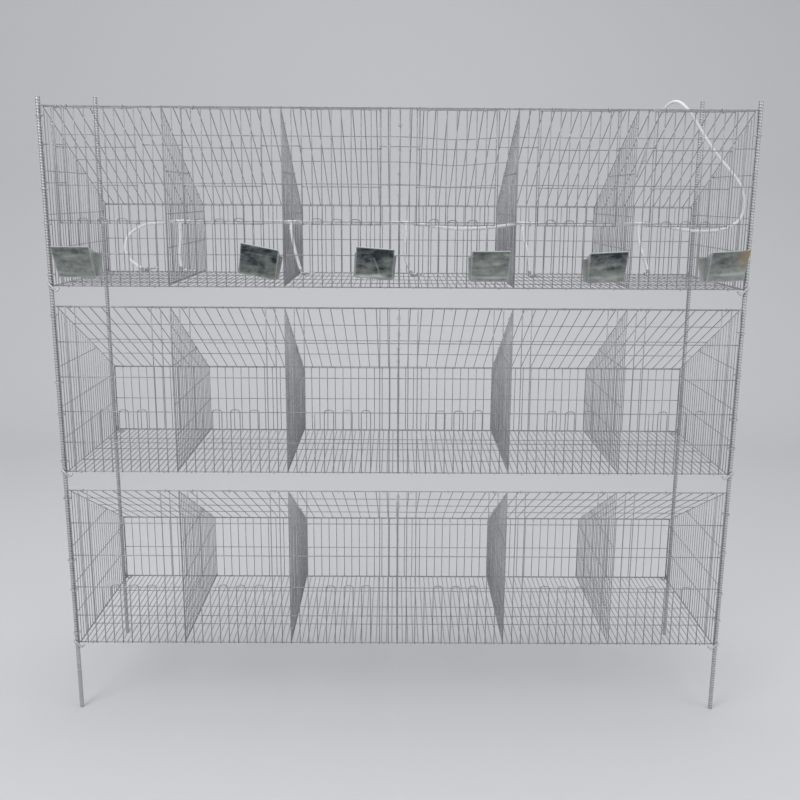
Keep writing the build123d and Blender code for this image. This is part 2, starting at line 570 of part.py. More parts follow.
# Drinkers: a hexagon elbow on each drop's end with a chamber for the pin's head, and a pin that slides in it
bodies = []
across = Vector(0, 1, 0)
chamber_l = PIN_HEAD_L + PIN_TRAVEL + PIN_ROOM
for i, (route, turn) in enumerate(zip(drop_routes, DRINKER_TURNS)):
    end = Vector(route[-1])
    down = (end - Vector(route[-2])).normalized()
    way = Vector(math.cos(math.radians(turn)), 0, math.sin(math.radians(turn)))
    corner = end + down * DRINKER_LEG
    mouth = corner + way * DRINKER_ARM
    tip = mouth + way * NOZZLE_L
    with BuildPart() as body:
        with BuildSketch(Plane(origin=end, x_dir=across, z_dir=down)):
            RegularPolygon(DRINKER_D / 2, 6, major_radius=False)
        extrude(amount=DRINKER_LEG)
        with BuildSketch(Plane(origin=corner - way * DRINKER_D / 2, x_dir=across, z_dir=way)):
            RegularPolygon(DRINKER_D / 2, 6, major_radius=False)
        extrude(amount=DRINKER_D / 2 + DRINKER_ARM)
        with BuildSketch(Plane(origin=mouth, x_dir=across, z_dir=way)):
            RegularPolygon(NOZZLE_D / 2, 6, major_radius=False)
        extrude(amount=NOZZLE_L)
        with BuildSketch(Plane(origin=mouth, x_dir=across, z_dir=way)):
            RegularPolygon(PIN_HEAD_D / 2 + PIN_ROOM, 4, major_radius=False)
        extrude(amount=-chamber_l, mode=Mode.SUBTRACT)
        with BuildSketch(Plane(origin=mouth, x_dir=across, z_dir=way)):
            RegularPolygon(PIN_D / 2 + PIN_ROOM, 4, major_radius=False)
        extrude(amount=NOZZLE_L, mode=Mode.SUBTRACT)
    bodies += list(body.part.solids())
    with BuildPart() as pin:
        with BuildSketch(Plane(origin=mouth, x_dir=across, z_dir=way)):
            RegularPolygon(PIN_HEAD_D / 2, 4, major_radius=False)
        extrude(amount=-PIN_HEAD_L)
        with BuildSketch(Plane(origin=mouth, x_dir=across, z_dir=way)):
            RegularPolygon(PIN_D / 2, 4, major_radius=False)
        extrude(amount=NOZZLE_L + PIN_OUT)
    save(f"drinker_pin_{i + 1}", list(pin.part.solids()))
    print("pin", i + 1, "at", [round(v, 2) for v in tip], "inward", [round(v, 4) for v in way * -1])
save("drinker_bodies", bodies)
print("hinge", round(HINGE_Y, 3), round(HINGE_Z, 3), "front", round(FRONT_Y, 3), "back", round(BACK_Y, 3))
print("inner front", round(INNER_FRONT, 3), "inner back", round(INNER_BACK, 3), "post x", round(post_x, 3))
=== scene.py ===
"""Looks of a three-tier galvanised wire cage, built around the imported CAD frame.

Every mesh panel is a net of round wires worked out with numpy, the posts are ribbed bars, the feed boxes are folded
sheet and the hoses are smooth NURBS curves. All sizes are in metres in the CAD frame: X along the cage, front toward
-Y, Z up.
"""

from __future__ import annotations

import json
import logging
import math
from dataclasses import dataclass, field
from enum import Enum
from typing import ClassVar

import bpy
import numpy as np
from mathutils import Matrix, Vector

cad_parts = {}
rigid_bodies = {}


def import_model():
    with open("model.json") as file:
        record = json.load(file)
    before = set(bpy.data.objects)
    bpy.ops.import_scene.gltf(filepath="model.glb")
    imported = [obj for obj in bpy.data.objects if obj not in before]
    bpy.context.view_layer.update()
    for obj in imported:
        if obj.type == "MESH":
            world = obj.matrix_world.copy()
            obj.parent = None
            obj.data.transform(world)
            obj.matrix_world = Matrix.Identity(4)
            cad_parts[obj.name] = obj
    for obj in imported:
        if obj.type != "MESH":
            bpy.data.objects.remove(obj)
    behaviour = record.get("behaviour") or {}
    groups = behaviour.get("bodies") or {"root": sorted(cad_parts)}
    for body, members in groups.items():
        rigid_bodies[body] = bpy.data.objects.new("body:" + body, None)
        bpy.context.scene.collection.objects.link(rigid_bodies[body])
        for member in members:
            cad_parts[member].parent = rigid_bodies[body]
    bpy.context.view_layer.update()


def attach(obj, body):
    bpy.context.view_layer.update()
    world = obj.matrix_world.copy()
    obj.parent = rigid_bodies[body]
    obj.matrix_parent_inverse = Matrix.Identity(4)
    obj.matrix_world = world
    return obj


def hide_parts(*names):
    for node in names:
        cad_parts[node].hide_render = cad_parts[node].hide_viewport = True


LOG = logging.getLogger("cage")
MM = 0.001
Array = np.ndarray
Triple = tuple[float, float, float]
Random = np.random.Generator
Inputs = dict[int | str, object]
Node, Socket, Tree = bpy.types.Node, bpy.types.NodeSocket, bpy.types.NodeTree
Piece, Material = bpy.types.Object, bpy.types.Material
X, Y, Z = (1.0, 0.0, 0.0), (0.0, 1.0, 0.0), (0.0, 0.0, 1.0)
DOME_OUT, DOME_R = 0.35, 0.55
LINE_Y = 14.0


class Slot(Enum):
    """Material slots of the record."""

    WIRE = "galvanised_wire"
    POST = "post_steel"
    RING = "ring_wire"
    SHEET = "zinc_sheet"
    HOSE = "hose"
    TEE = "tee_plastic"
    DRINKER = "drinker_metal"
    PIN = "pin_metal"


class Tier(Enum):
    """The three tiers, by the height of their floor."""

    LOWER = 0.205
    MIDDLE = 0.709
    UPPER = 1.213

    @property
    def word(self) -> str:
        """The tier's name as the CAD nodes spell it."""
        return self.name.lower()


@dataclass(frozen=True)
class Sizes:
    """Sizes that several pieces share, as the CAD model has them."""

    cells: int = 6
    cell: float = 0.300
    depth: float = 0.480
    front_h: float = 0.450
    back_h: float = 0.203
    front_y: float = -0.212616
    pitch: float = 0.025
    front_r: float = 1.3 * MM
    mesh_r: float = 1.1 * MM
    side_r: float = 1.0 * MM
    clear: float = 0.3 * MM
    front_tall: float = 3.267 * MM
    mesh_tall: float = 2.765 * MM
    side_tall: float = 2.513 * MM
    front_rails: tuple[float, ...] = (0.0, 0.082, 0.167, 0.261333, 0.355667, 0.450)

    @property
    def back_y(self) -> float:
        """Weld plane of the back panels."""
        return self.front_y + self.depth

    @property
    def end_x(self) -> float:
        """Half the cage's length."""
        return self.cells * self.cell / 2

    @property
    def cell_x(self) -> Array:
        """Left edge of each cell."""
        return np.arange(self.cells) * self.cell - self.end_x

    @property
    def inner_front(self) -> float:
        """Where floor, roof and dividers begin behind the front rails."""
        return self.front_y + self.front_tall + self.clear

    @property
    def inner_back(self) -> float:
        """Where they end before the back rails."""
        return self.back_y - self.mesh_tall - self.clear

    @property
    def inner_x(self) -> float:
        """Half length between the end panels' rails."""
        return self.end_x - self.side_tall - self.clear

    @property
    def slope(self) -> float:
        """Fall of the roof for each metre of depth."""
        return (self.front_h - self.back_h) / self.depth

    @property
    def roof_normal(self) -> Array:
        """Direction square to the roofs, upward."""
        return unit(np.array([0.0, self.slope, 1.0]))


S = Sizes()


class MeshBatch:
    """Collects vertex arrays and faces, and makes one mesh object of them."""

    def __init__(self) -> None:
        """Start empty."""
        self.points: list[Array] = []
        self.faces: list[Array] = []
        self.count = 0

    def add(self, points: Array, *faces: Array) -> None:
        """Add points of shape (..., 3) and their faces of shape (faces, corners), counted from the first of them."""
        self.points.append(points.reshape(-1, 3))
        self.faces.extend(f + self.count for f in faces)
        self.count += len(self.points[-1])

    def build(self, name: str, finish: Material) -> Piece:
        """Make the object, at the origin and shaded smooth.

        Args:
            name: Name of the piece.
            finish: Its material.

        Returns:
            The new object.
        """
        points = np.concatenate(self.points).astype(np.float32)
        corners = np.concatenate([f.reshape(-1) for f in self.faces]).astype(np.int32)
        sizes = np.concatenate([np.full(len(f), f.shape[1]) for f in self.faces]).astype(np.int32)
        mesh = bpy.data.meshes.new(name)
        mesh.vertices.add(len(points))
        mesh.vertices.foreach_set("co", points.ravel())
        mesh.loops.add(len(corners))
        mesh.loops.foreach_set("vertex_index", corners)
        mesh.polygons.add(len(sizes))
        mesh.polygons.foreach_set("loop_start", (np.cumsum(sizes) - sizes).astype(np.int32))
        mesh.polygons.foreach_set("loop_total", sizes)
        mesh.polygons.foreach_set("use_smooth", np.full(len(sizes), True))
        mesh.update(calc_edges=True)
        mesh.validate()
        mesh.materials.append(finish)
        piece = bpy.data.objects.new(name, mesh)
        bpy.context.scene.collection.objects.link(piece)
        return piece


def paint(piece: Piece, looks: dict[str, Array]) -> None:
    """Give a mesh piece point attributes, by name, that its finish reads."""
    for label, values in looks.items():
        piece.data.attributes.new(label, "FLOAT", "POINT").data.foreach_set("value", values.astype(np.float32))


def unit(vectors: Array) -> Array:
    """Vectors scaled to length one along the last axis."""
    return vectors / np.maximum(np.linalg.norm(vectors, axis=-1, keepdims=True), 1e-12)


def circle(points: int) -> Array:
    """Even angles once round."""
    return np.linspace(0.0, 2 * math.pi, points, endpoint=False)


def across_x(xs: Array, y: float, z: float) -> Array:
    """Points at many places along X, at one Y and Z."""
    return np.stack([xs, np.full(len(xs), y), np.full(len(xs), z)], -1)


def on_tiers(xs: Array | list[float], y: float, heights: tuple[float, ...]) -> Array:
    """Points at every place along X and height over the floor, tier by tier."""
    return np.array([(x, y, tier.value + h) for tier in Tier for x in xs for h in heights])


def copies(shape: Array, spots: Array, along: Triple | Array, up: Triple | Array) -> Array:
    """Copies of a flat outline of points (u, v), one at each spot: spot + u * along + v * up."""
    return spots[:, None] + shape[:, :1] * np.asarray(along) + shape[:, 1:] * np.asarray(up)


def grid_faces(rows: int, columns: int, closed: bool = False) -> Array:
    """Quads of a grid whose columns close on themselves, and whose rows do where it is closed."""
    i, j = np.meshgrid(np.arange(rows if closed else rows - 1), np.arange(columns), indexing="ij")
    below, after = (i + 1) % rows * columns, (j + 1) % columns
    return np.stack([i * columns + j, i * columns + after, below + after, below + j], -1).reshape(-1, 4)


def sweep(batch: MeshBatch, lines: Array, ways: Array, radii: Array, plane: Triple | Array, sides: int,
          closed: bool) -> None:
    """Round wires along lines: a ring's point is line + r (cos a * across + sin a * normal), across being way x plane.

    Args:
        batch: Mesh to add to.
        lines: Middle lines, shape (wires, points, 3).
        ways: Their directions.
        radii: Radius at each point.
        plane: Normal of the plane that a closed line lies in, or a direction that is never along an open one.
        sides: Points around a wire.
        closed: Whether each line ends where it begins. Other wires get a cap on each end.
    """
    wires, count, _ = lines.shape
    across = unit(np.cross(ways, plane))
    normal = np.broadcast_to(np.asarray(plane, float), lines.shape) if closed else np.cross(across, unit(ways))
    turn = circle(sides)[:, None]
    rings = np.cos(turn) * across[:, :, None] + np.sin(turn) * normal[:, :, None]
    faces = [np.roll(grid_faces(count, sides, closed)[:, ::-1], int(closed), 1)]
    if not closed:
        faces += [np.arange(sides)[None], (count - 1) * sides + np.arange(sides)[None, ::-1]]
    first = np.arange(wires)[:, None, None] * count * sides
    batch.add(lines[:, :, None] + radii[:, None, None] * rings, *((f + first).reshape(-1, f.shape[1]) for f in faces))


def tubes(batch: MeshBatch, paths: Array, radius: float, plane: Triple, sides: int = 8) -> None:
    """Open wires as sweep makes them, with domed ends: one more ring of DOME_R radii, DOME_OUT radii further on."""
    before = paths[:, :1] + unit(paths[:, :1] - paths[:, 1:2]) * radius * DOME_OUT
    after = paths[:, -1:] + unit(paths[:, -1:] - paths[:, -2:-1]) * radius * DOME_OUT
    lines = np.concatenate([before, paths, after], axis=1)
    radii = np.full(lines.shape[1], radius)
    radii[[0, -1]] *= DOME_R
    sweep(batch, lines, np.gradient(lines, axis=1), radii, plane, sides, False)


def loops(batch: MeshBatch, paths: Array, radius: float, plane: Triple | Array, sides: int = 6) -> None:
    """Closed wire rings as sweep makes them, along paths that don't repeat their first point."""
    ways = np.roll(paths, -1, 1) - np.roll(paths, 1, 1)
    sweep(batch, paths, ways, np.full(paths.shape[1], radius), plane, sides, True)


def straight(starts: Array, ends: Array, points: int, bow: float, rng: Random) -> Array:
    """Points at even shares from starts to ends, with a smooth random bow that is nought at both ends of a wire."""
    share = np.linspace(0.0, 1.0, points)[None, :, None]
    line = starts[:, None] * (1 - share) + ends[:, None] * share
    swing, ripple = (rng.uniform(-bow, bow, (len(starts), 1, 3)) for _ in range(2))
    return line + np.sin(math.pi * share) * swing + np.sin(3 * math.pi * share) * ripple * 0.5


def revolve(batch: MeshBatch, profile: Array, origin: Array, axis: Triple | Array, sides: int = 20,
            flats: Array | None = None) -> None:
    """Turned piece: profile rows (distance along the axis, radius) carried round the axis and closed by end caps.

    Args:
        batch: Mesh to add to.
        profile: Array of shape (rows, 2).
        origin: Start of the axis.
        axis: Its direction.
        sides: Points around.
        flats: Which rows are hexagons with blunt corners: r / cos(a mod 60 - 30 degrees), at most 1.12 r.
    """
    way = unit(np.asarray(axis, float))
    side = unit(np.cross(way, Y if abs(way[1]) < 0.9 else X))
    turn = circle(sides)
    radius = np.repeat(profile[:, 1:], sides, axis=1)
    if flats is not None:
        sixth = math.pi / 3
        radius = np.where(flats[:, None], radius * np.minimum(1 / np.cos(turn % sixth - sixth / 2), 1.12), radius)
    ring = np.cos(turn)[:, None] * side + np.sin(turn)[:, None] * np.cross(way, side)
    rows = len(profile)
    batch.add(np.asarray(origin) + profile[:, :1, None] * way + radius[:, :, None] * ring, grid_faces(rows, sides),
              np.arange(sides)[None, ::-1], (rows - 1) * sides + np.arange(sides)[None])


def refine(path: Array, step: float) -> Array:
    """The same line with points added, so that no piece of it is longer than the step."""
    gaps = np.linalg.norm(np.diff(path, axis=0), axis=1)
    counts = np.maximum(np.ceil(gaps / step).astype(int), 1)
    parts = [a + (b - a) * np.arange(n)[:, None] / n for a, b, n in zip(path[:-1], path[1:], counts)]
    return np.concatenate([*parts, path[-1:]])


def band_solid(batch: MeshBatch, path: Array, thick: float, places: Array, bulge: Array) -> None:
    """Folded sheet: a middle line in the YZ plane thickened to both sides and carried along X.

    The loop of the section is the line moved by +thick/2 and back by -thick/2 along its normal.

    Args:
        batch: Mesh to add to.
        path: Middle line, shape (points, 2), as (y, z).
        thick: Sheet thickness.
        places: Sections along X, in rising order.
        bulge: Further move along the normal, shape (places, points).
    """
    way = unit(np.gradient(path, axis=0))
    normal = np.stack([-way[:, 1], way[:, 0]], -1)
    middle = path + bulge[:, :, None] * normal
    yz = np.concatenate([middle + normal * thick / 2, (middle - normal * thick / 2)[:, ::-1]], 1)
    count, last = yz.shape[1], (len(places) - 1) * yz.shape[1]
    half = np.arange(len(path) - 1)
    strip = np.stack([half, half + 1, count - 2 - half, count - 1 - half], -1)
    batch.add(np.concatenate([np.repeat(places[:, None, None], count, axis=1), yz], -1),
              grid_faces(len(places), count)[:, ::-1], strip, strip[:, ::-1] + last)


def plate(batch: MeshBatch, outline: Array, normal_axis: int, at: float, thick: float) -> None:
    """Flat plate: a convex outline in one coordinate plane, drawn out to its thickness.

    Args:
        batch: Mesh to add to.
        outline: Corners in order, shape (n, 2), in the two other axes in X, Y, Z order.
        normal_axis: Axis that the plate faces, 0 to 2.
        at: Middle of its thickness on that axis.
        thick: Its thickness.
    """
    ahead = np.arange(len(outline))
    after, corners = np.roll(ahead, -1), len(outline)
    points = np.zeros((2, corners, 3))
    points[:, :, [a for a in range(3) if a != normal_axis]] = outline
    points[:, :, normal_axis] = at + thick / 2 * np.array([[-1], [1]])
    area = np.sum(outline[:, 0] * outline[after, 1] - outline[after, 0] * outline[:, 1])
    order = 1 if (area > 0) == (normal_axis != 1) else -1
    rim = np.stack([ahead, after, after + corners, ahead + corners], -1)
    batch.add(points, *(f[:, ::order] for f in (rim, ahead[None, ::-1], ahead[None] + corners)))


def fillet(points: list[tuple[float, float]], radius: float, steps: int = 5) -> Array:
    """Bent line: each inner corner becomes a quadratic blend between the points one radius from it on either side."""
    line = np.array(points, float)
    inner = line[1:-1]
    start, end = (inner + unit(side - inner) * radius for side in (line[:-2], line[2:]))
    t = np.linspace(0.0, 1.0, steps)[None, :, None]
    bends = start[:, None] * (1 - t) ** 2 + 2 * inner[:, None] * t * (1 - t) + end[:, None] * t ** 2
    return np.concatenate([line[:1], bends.reshape(-1, 2), line[-1:]])


def stadium(a: Array, b: Array, radius: float, points: int = 14) -> Array:
    """Closed loop round two wires with centres a and b: half circles of one radius, joined by straight sides."""
    heading = math.atan2(b[1] - a[1], b[0] - a[0])
    half = np.linspace(0.0, math.pi, points // 2)
    ends = ((a, heading + math.pi / 2 + half), (b, heading - math.pi / 2 + half))
    return np.concatenate([centre + radius * np.stack([np.cos(t), np.sin(t)], -1) for centre, t in ends])


class Graph:
    """Adds nodes to one tree, each with its settings, values and links in one call."""

    def __init__(self, tree: Tree) -> None:
        """Work on a tree."""
        self.tree = tree

    def feed(self, node: Node, inputs: Inputs) -> None:
        """Give a node's sockets values, or links where the value is another node's output."""
        for socket, value in inputs.items():
            if isinstance(value, Socket):
                self.tree.links.new(value, node.inputs[socket])
            else:
                node.inputs[socket].default_value = value

    def node(self, kind: str, inputs: Inputs | None = None, **settings: object) -> Node:
        """Add a node of a kind, named without the word ShaderNode, with its own settings and what its sockets get."""
        made = self.tree.nodes.new(f"ShaderNode{kind}")
        for name, value in settings.items():
            setattr(made, name, value)
        self.feed(made, inputs or {})
        return made

    def math(self, operation: str, *values: object, clamp: bool = False) -> Socket:
        """Result of a sum, product or other operation on numbers."""
        return self.node("Math", dict(enumerate(values)), operation=operation, use_clamp=clamp).outputs[0]

    def mix(self, share: object, first: object, second: object) -> Socket:
        """Colour mixed of two by a share."""
        return self.node("Mix", {0: share, 6: first, 7: second}, data_type="RGBA").outputs[2]


class ShaderGroups:
    """Node groups that several finishes share."""

    # Bright zinc colour that the coat mixes in: rubbed wear on the posts, and painted highlights and painted light on
    # the feed boxes.
    RUBBED: ClassVar[tuple[float, ...]] = (0.68, 0.69, 0.68, 1)

    def __init__(self) -> None:
        """Build both groups once."""
        self.zinc = self._zinc()
        self.film = self._film()

    @staticmethod
    def _new(name: str, inputs: dict[str, object], *outputs: str) -> tuple[Graph, Node, Node]:
        """Start a group with named sockets.

        Args:
            name: Group name.
            inputs: Socket name to its default, a colour or a number.
            outputs: Socket names.

        Returns:
            The tree's graph, its input node and its output node.
        """
        tree = bpy.data.node_groups.new(name, "ShaderNodeTree")
        for label, value in inputs.items():
            kind = "NodeSocketColor" if isinstance(value, tuple) else "NodeSocketFloat"
            tree.interface.new_socket(label, in_out="INPUT", socket_type=kind).default_value = value
        for label in outputs:
            kind = "NodeSocketColor" if label == "Color" else "NodeSocketFloat"
            tree.interface.new_socket(label, in_out="OUTPUT", socket_type=kind)
        return Graph(tree), tree.nodes.new("NodeGroupInput"), tree.nodes.new("NodeGroupOutput")

    def _zinc(self) -> Tree:
        """Zinc coat: crystal cells over slow patches, giving colour, roughness and height."""
        graph, source, out = self._new("zinc_coat", {
            "Bright": (0.7, 0.71, 0.72, 1), "Dull": (0.4, 0.41, 0.42, 1), "Cell Scale": 150.0, "Patch Scale": 9.0,
            "Cell Share": 0.5, "Smooth": 0.3, "Rough": 0.55, "Stretch": 1.0, "Wear": 0.0, "Gain": 2.0,
            "Level": -0.5}, "Color", "Roughness", "Height")
        given = source.outputs
        place = graph.node("TexCoord").outputs["Object"]
        tall = graph.node("CombineXYZ", {"X": 1.0, "Y": 1.0, "Z": given["Stretch"]})
        drawn = graph.node("VectorMath", {0: place, 1: tall.outputs[0]}, operation="MULTIPLY")
        cells = graph.node("TexVoronoi", {"Vector": place, "Scale": given["Cell Scale"]})
        grey = graph.node("SeparateColor", {0: cells.outputs["Color"]})
        patch = graph.node("TexNoise", {"Vector": drawn.outputs[0], "Scale": given["Patch Scale"], "Detail": 5.0,
                                        "Roughness": 0.6})
        blend = graph.node("Mix", {0: given["Cell Share"], 2: patch.outputs["Fac"], 3: grey.outputs[0]})
        level = graph.math("MULTIPLY_ADD", blend.outputs[0], given["Gain"], given["Level"], clamp=True)
        rough = graph.node("MapRange", {"Value": level, "To Min": given["Rough"], "To Max": given["Smooth"]})
        tone = graph.mix(level, given["Dull"], given["Bright"])
        # The colour is mixed toward the bright zinc by the wear input: rubbed wear on the posts, painted highlights and
        # painted light on the feed boxes.
        graph.feed(out, {"Color": graph.mix(given["Wear"], tone, self.RUBBED), "Roughness": rough.outputs[0],
                         "Height": level})
        return graph.tree

    def _film(self) -> Tree:
        """Dust and white oxide: a mask from noise, stronger on faces that look up, mixed over a colour."""
        graph, source, out = self._new("dust_film", {
            "Color": (0.5, 0.5, 0.5, 1), "Dust": (0.6, 0.58, 0.53, 1), "Amount": 0.3, "Scale": 24.0,
            "Roughness": 0.4}, "Color", "Roughness")
        given = source.outputs
        place = graph.node("TexCoord")
        noise = graph.node("TexNoise", {"Vector": place.outputs["Object"], "Scale": given["Scale"], "Detail": 6.0})
        patch = graph.node("MapRange", {"Value": noise.outputs["Fac"], "From Min": 0.42, "From Max": 0.7})
        split = graph.node("SeparateXYZ", {0: place.outputs["Normal"]})
        up = graph.node("MapRange", {"Value": split.outputs["Z"], "From Min": -0.4, "From Max": 1.0, "To Min": 0.3})
        both = graph.math("MULTIPLY", patch.outputs[0], up.outputs[0])
        mask = graph.math("MULTIPLY", both, given["Amount"])
        rough = graph.node("Mix", {0: mask, 2: given["Roughness"], 3: 0.8})
        graph.feed(out, {"Color": graph.mix(mask, given["Color"], given["Dust"]), "Roughness": rough.outputs[0]})
        return graph.tree


class Coated:
    """A material begun: a coat of the zinc group under the dust film, on a shader's colour and roughness."""

    def __init__(self, name: str, groups: ShaderGroups, dust: float, coat: dict[str, object]) -> None:
        """Start a material of this name, with its amount of dust and the values of its coat."""
        self.material = bpy.data.materials.new(name)
        self.material.use_nodes = True
        self.graph = Graph(self.material.node_tree)
        self.shader = self.graph.tree.nodes["Principled BSDF"]
        self.coat = self.graph.node("Group", coat, node_tree=groups.zinc)
        under = {label: self.coat.outputs[label] for label in ("Color", "Roughness")}
        self.film = self.graph.node("Group", {"Amount": dust, **under}, node_tree=groups.film)
        self.give("Base Color", self.film.outputs["Color"])
        self.give("Roughness", self.film.outputs["Roughness"])

    def give(self, socket: str, value: object) -> None:
        """Set or link one socket of the shader."""
        self.graph.feed(self.shader, {socket: value})


@dataclass(frozen=True)
class ZincFinish:
    """Galvanised steel: crystal cells, slow patches, a dust film and a fine relief.

    A finish that reads the piece's attributes also takes a brightening (rubbed wear on the posts, painted highlights
    and painted light on the feed boxes), a tone (lighter or darker, with painted light and painted highlights on the
    feed boxes) and a straw-coloured tint.
    """

    WORN_GAIN: ClassVar[float] = 1.35
    STRAW: ClassVar[tuple[float, ...]] = (0.33, 0.275, 0.165, 1)
    BUMP: ClassVar[float] = 0.2 * MM

    name: str
    bright: Triple
    dull: Triple
    cell_scale: float
    patch_scale: float
    cell_share: float
    smooth: float
    rough: float
    dust: float
    metallic: float
    relief: float
    stretch: float = 1.0
    worn: bool = False

    def material(self, groups: ShaderGroups) -> Material:
        """Build the material out of the shared groups."""
        base = Coated(self.name, groups, self.dust, {
            "Bright": (*self.bright, 1), "Dull": (*self.dull, 1), "Cell Scale": self.cell_scale,
            "Patch Scale": self.patch_scale, "Cell Share": self.cell_share, "Smooth": self.smooth,
            "Rough": self.rough, "Stretch": self.stretch})
        base.give("Metallic", self.metallic)
        if self.worn:
            # Per-point attributes: a brightening (rubbed wear on the posts, painted highlights and painted light on the
            # feed boxes), a tone (with painted light and painted highlights on the feed boxes) and a straw-coloured
            # tint.
            wear, tone, straw = (base.graph.node("Attribute", attribute_name=label).outputs["Fac"]
                                 for label in ("wear", "tone", "straw"))
            base.graph.feed(base.coat, {"Gain": self.WORN_GAIN, "Wear": wear, "Level": tone})
            base.give("Base Color", base.graph.mix(straw, base.film.outputs["Color"], self.STRAW))
        bump = base.graph.node("Bump", {"Strength": self.relief, "Distance": self.BUMP,
                                        "Height": base.coat.outputs["Height"]})
        base.give("Normal", bump.outputs["Normal"])
        return base.material


@dataclass(frozen=True)
class PlasticFinish:
    """Milky plastic: a slow tint change, a dust film and some light passing through."""

    TINT_SCALE: ClassVar[float] = 30.0
    ROUGHER: ClassVar[float] = 0.15
    GLOSS: ClassVar[tuple[float, float]] = (0.25, 0.15)

    name: str
    light: Triple
    shade: Triple
    roughness: float
    transmission: float
    dust: float

    def material(self, groups: ShaderGroups) -> Material:
        """Build the material out of the shared groups."""
        base = Coated(self.name, groups, self.dust, {
            "Bright": (*self.light, 1), "Dull": (*self.shade, 1), "Cell Share": 0.0, "Patch Scale": self.TINT_SCALE,
            "Smooth": self.roughness, "Rough": self.roughness + self.ROUGHER})
        base.give("Transmission Weight", self.transmission)
        base.give("Coat Weight", self.GLOSS[0])
        base.give("Coat Roughness", self.GLOSS[1])
        return base.material


class Finishes:
    """One material for each slot of the record."""

    SPECS: dict[Slot, ZincFinish | PlasticFinish] = {
        Slot.WIRE: ZincFinish("galvanised_mesh_wire", (0.43, 0.44, 0.45), (0.30, 0.305, 0.315), cell_scale=160.0,
                              patch_scale=14.0, cell_share=0.35, smooth=0.34, rough=0.50, dust=0.25, metallic=0.85,
                              relief=0.15),
        Slot.POST: ZincFinish("ribbed_post_zinc", (0.46, 0.465, 0.47), (0.27, 0.275, 0.28), cell_scale=120.0,
                              patch_scale=10.0, cell_share=0.4, smooth=0.34, rough=0.6, dust=0.25, metallic=0.8,
                              relief=0.3, worn=True),
        Slot.RING: ZincFinish("bright_ring_zinc", (0.66, 0.67, 0.68), (0.40, 0.41, 0.42), cell_scale=200.0,
                              patch_scale=30.0, cell_share=0.3, smooth=0.22, rough=0.4, dust=0.15, metallic=0.9,
                              relief=0.15),
        Slot.SHEET: ZincFinish("spangled_zinc_sheet", (0.426, 0.454, 0.424), (0.025, 0.037, 0.040), cell_scale=115.0,
                               patch_scale=26.0, cell_share=0.12, smooth=0.26, rough=0.46, dust=0.12, metallic=0.85,
                               relief=0.12, stretch=2.6, worn=True),
        Slot.HOSE: PlasticFinish("milky_hose", (0.84, 0.86, 0.86), (0.74, 0.77, 0.76), roughness=0.25,
                                 transmission=0.1, dust=0.15),
        Slot.TEE: PlasticFinish("white_fitting", (0.82, 0.83, 0.82), (0.70, 0.71, 0.70), roughness=0.4,
                                transmission=0.0, dust=0.2),
        Slot.DRINKER: ZincFinish("turned_drinker", (0.60, 0.62, 0.63), (0.33, 0.35, 0.36), cell_scale=260.0,
                                 patch_scale=60.0, cell_share=0.2, smooth=0.18, rough=0.34, dust=0.2, metallic=0.95,
                                 relief=0.1),
        Slot.PIN: ZincFinish("polished_pin", (0.78, 0.78, 0.78), (0.6, 0.6, 0.6), cell_scale=300.0, patch_scale=80.0,
                             cell_share=0.2, smooth=0.12, rough=0.25, dust=0.05, metallic=1.0, relief=0.05)}

    def __init__(self) -> None:
        """Build the groups and every material."""
        groups = ShaderGroups()
        self.made = {slot: spec.material(groups) for slot, spec in self.SPECS.items()}

    def dress(self, piece: Piece, slot: Slot, body: str, *nodes: str) -> Piece:
        """Let a piece ride on a CAD body and stand for its CAD nodes."""
        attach(piece, body)
        if nodes:
            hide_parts(*nodes)
        LOG.info("%s rides on %s", piece.name, body)
        return piece

    def build(self, batch: MeshBatch, name: str, slot: Slot, body: str, *nodes: str) -> Piece:
        """Make a mesh piece and dress it, as dress says."""
        return self.dress(batch.build(name, self.made[slot]), slot, body, *nodes)


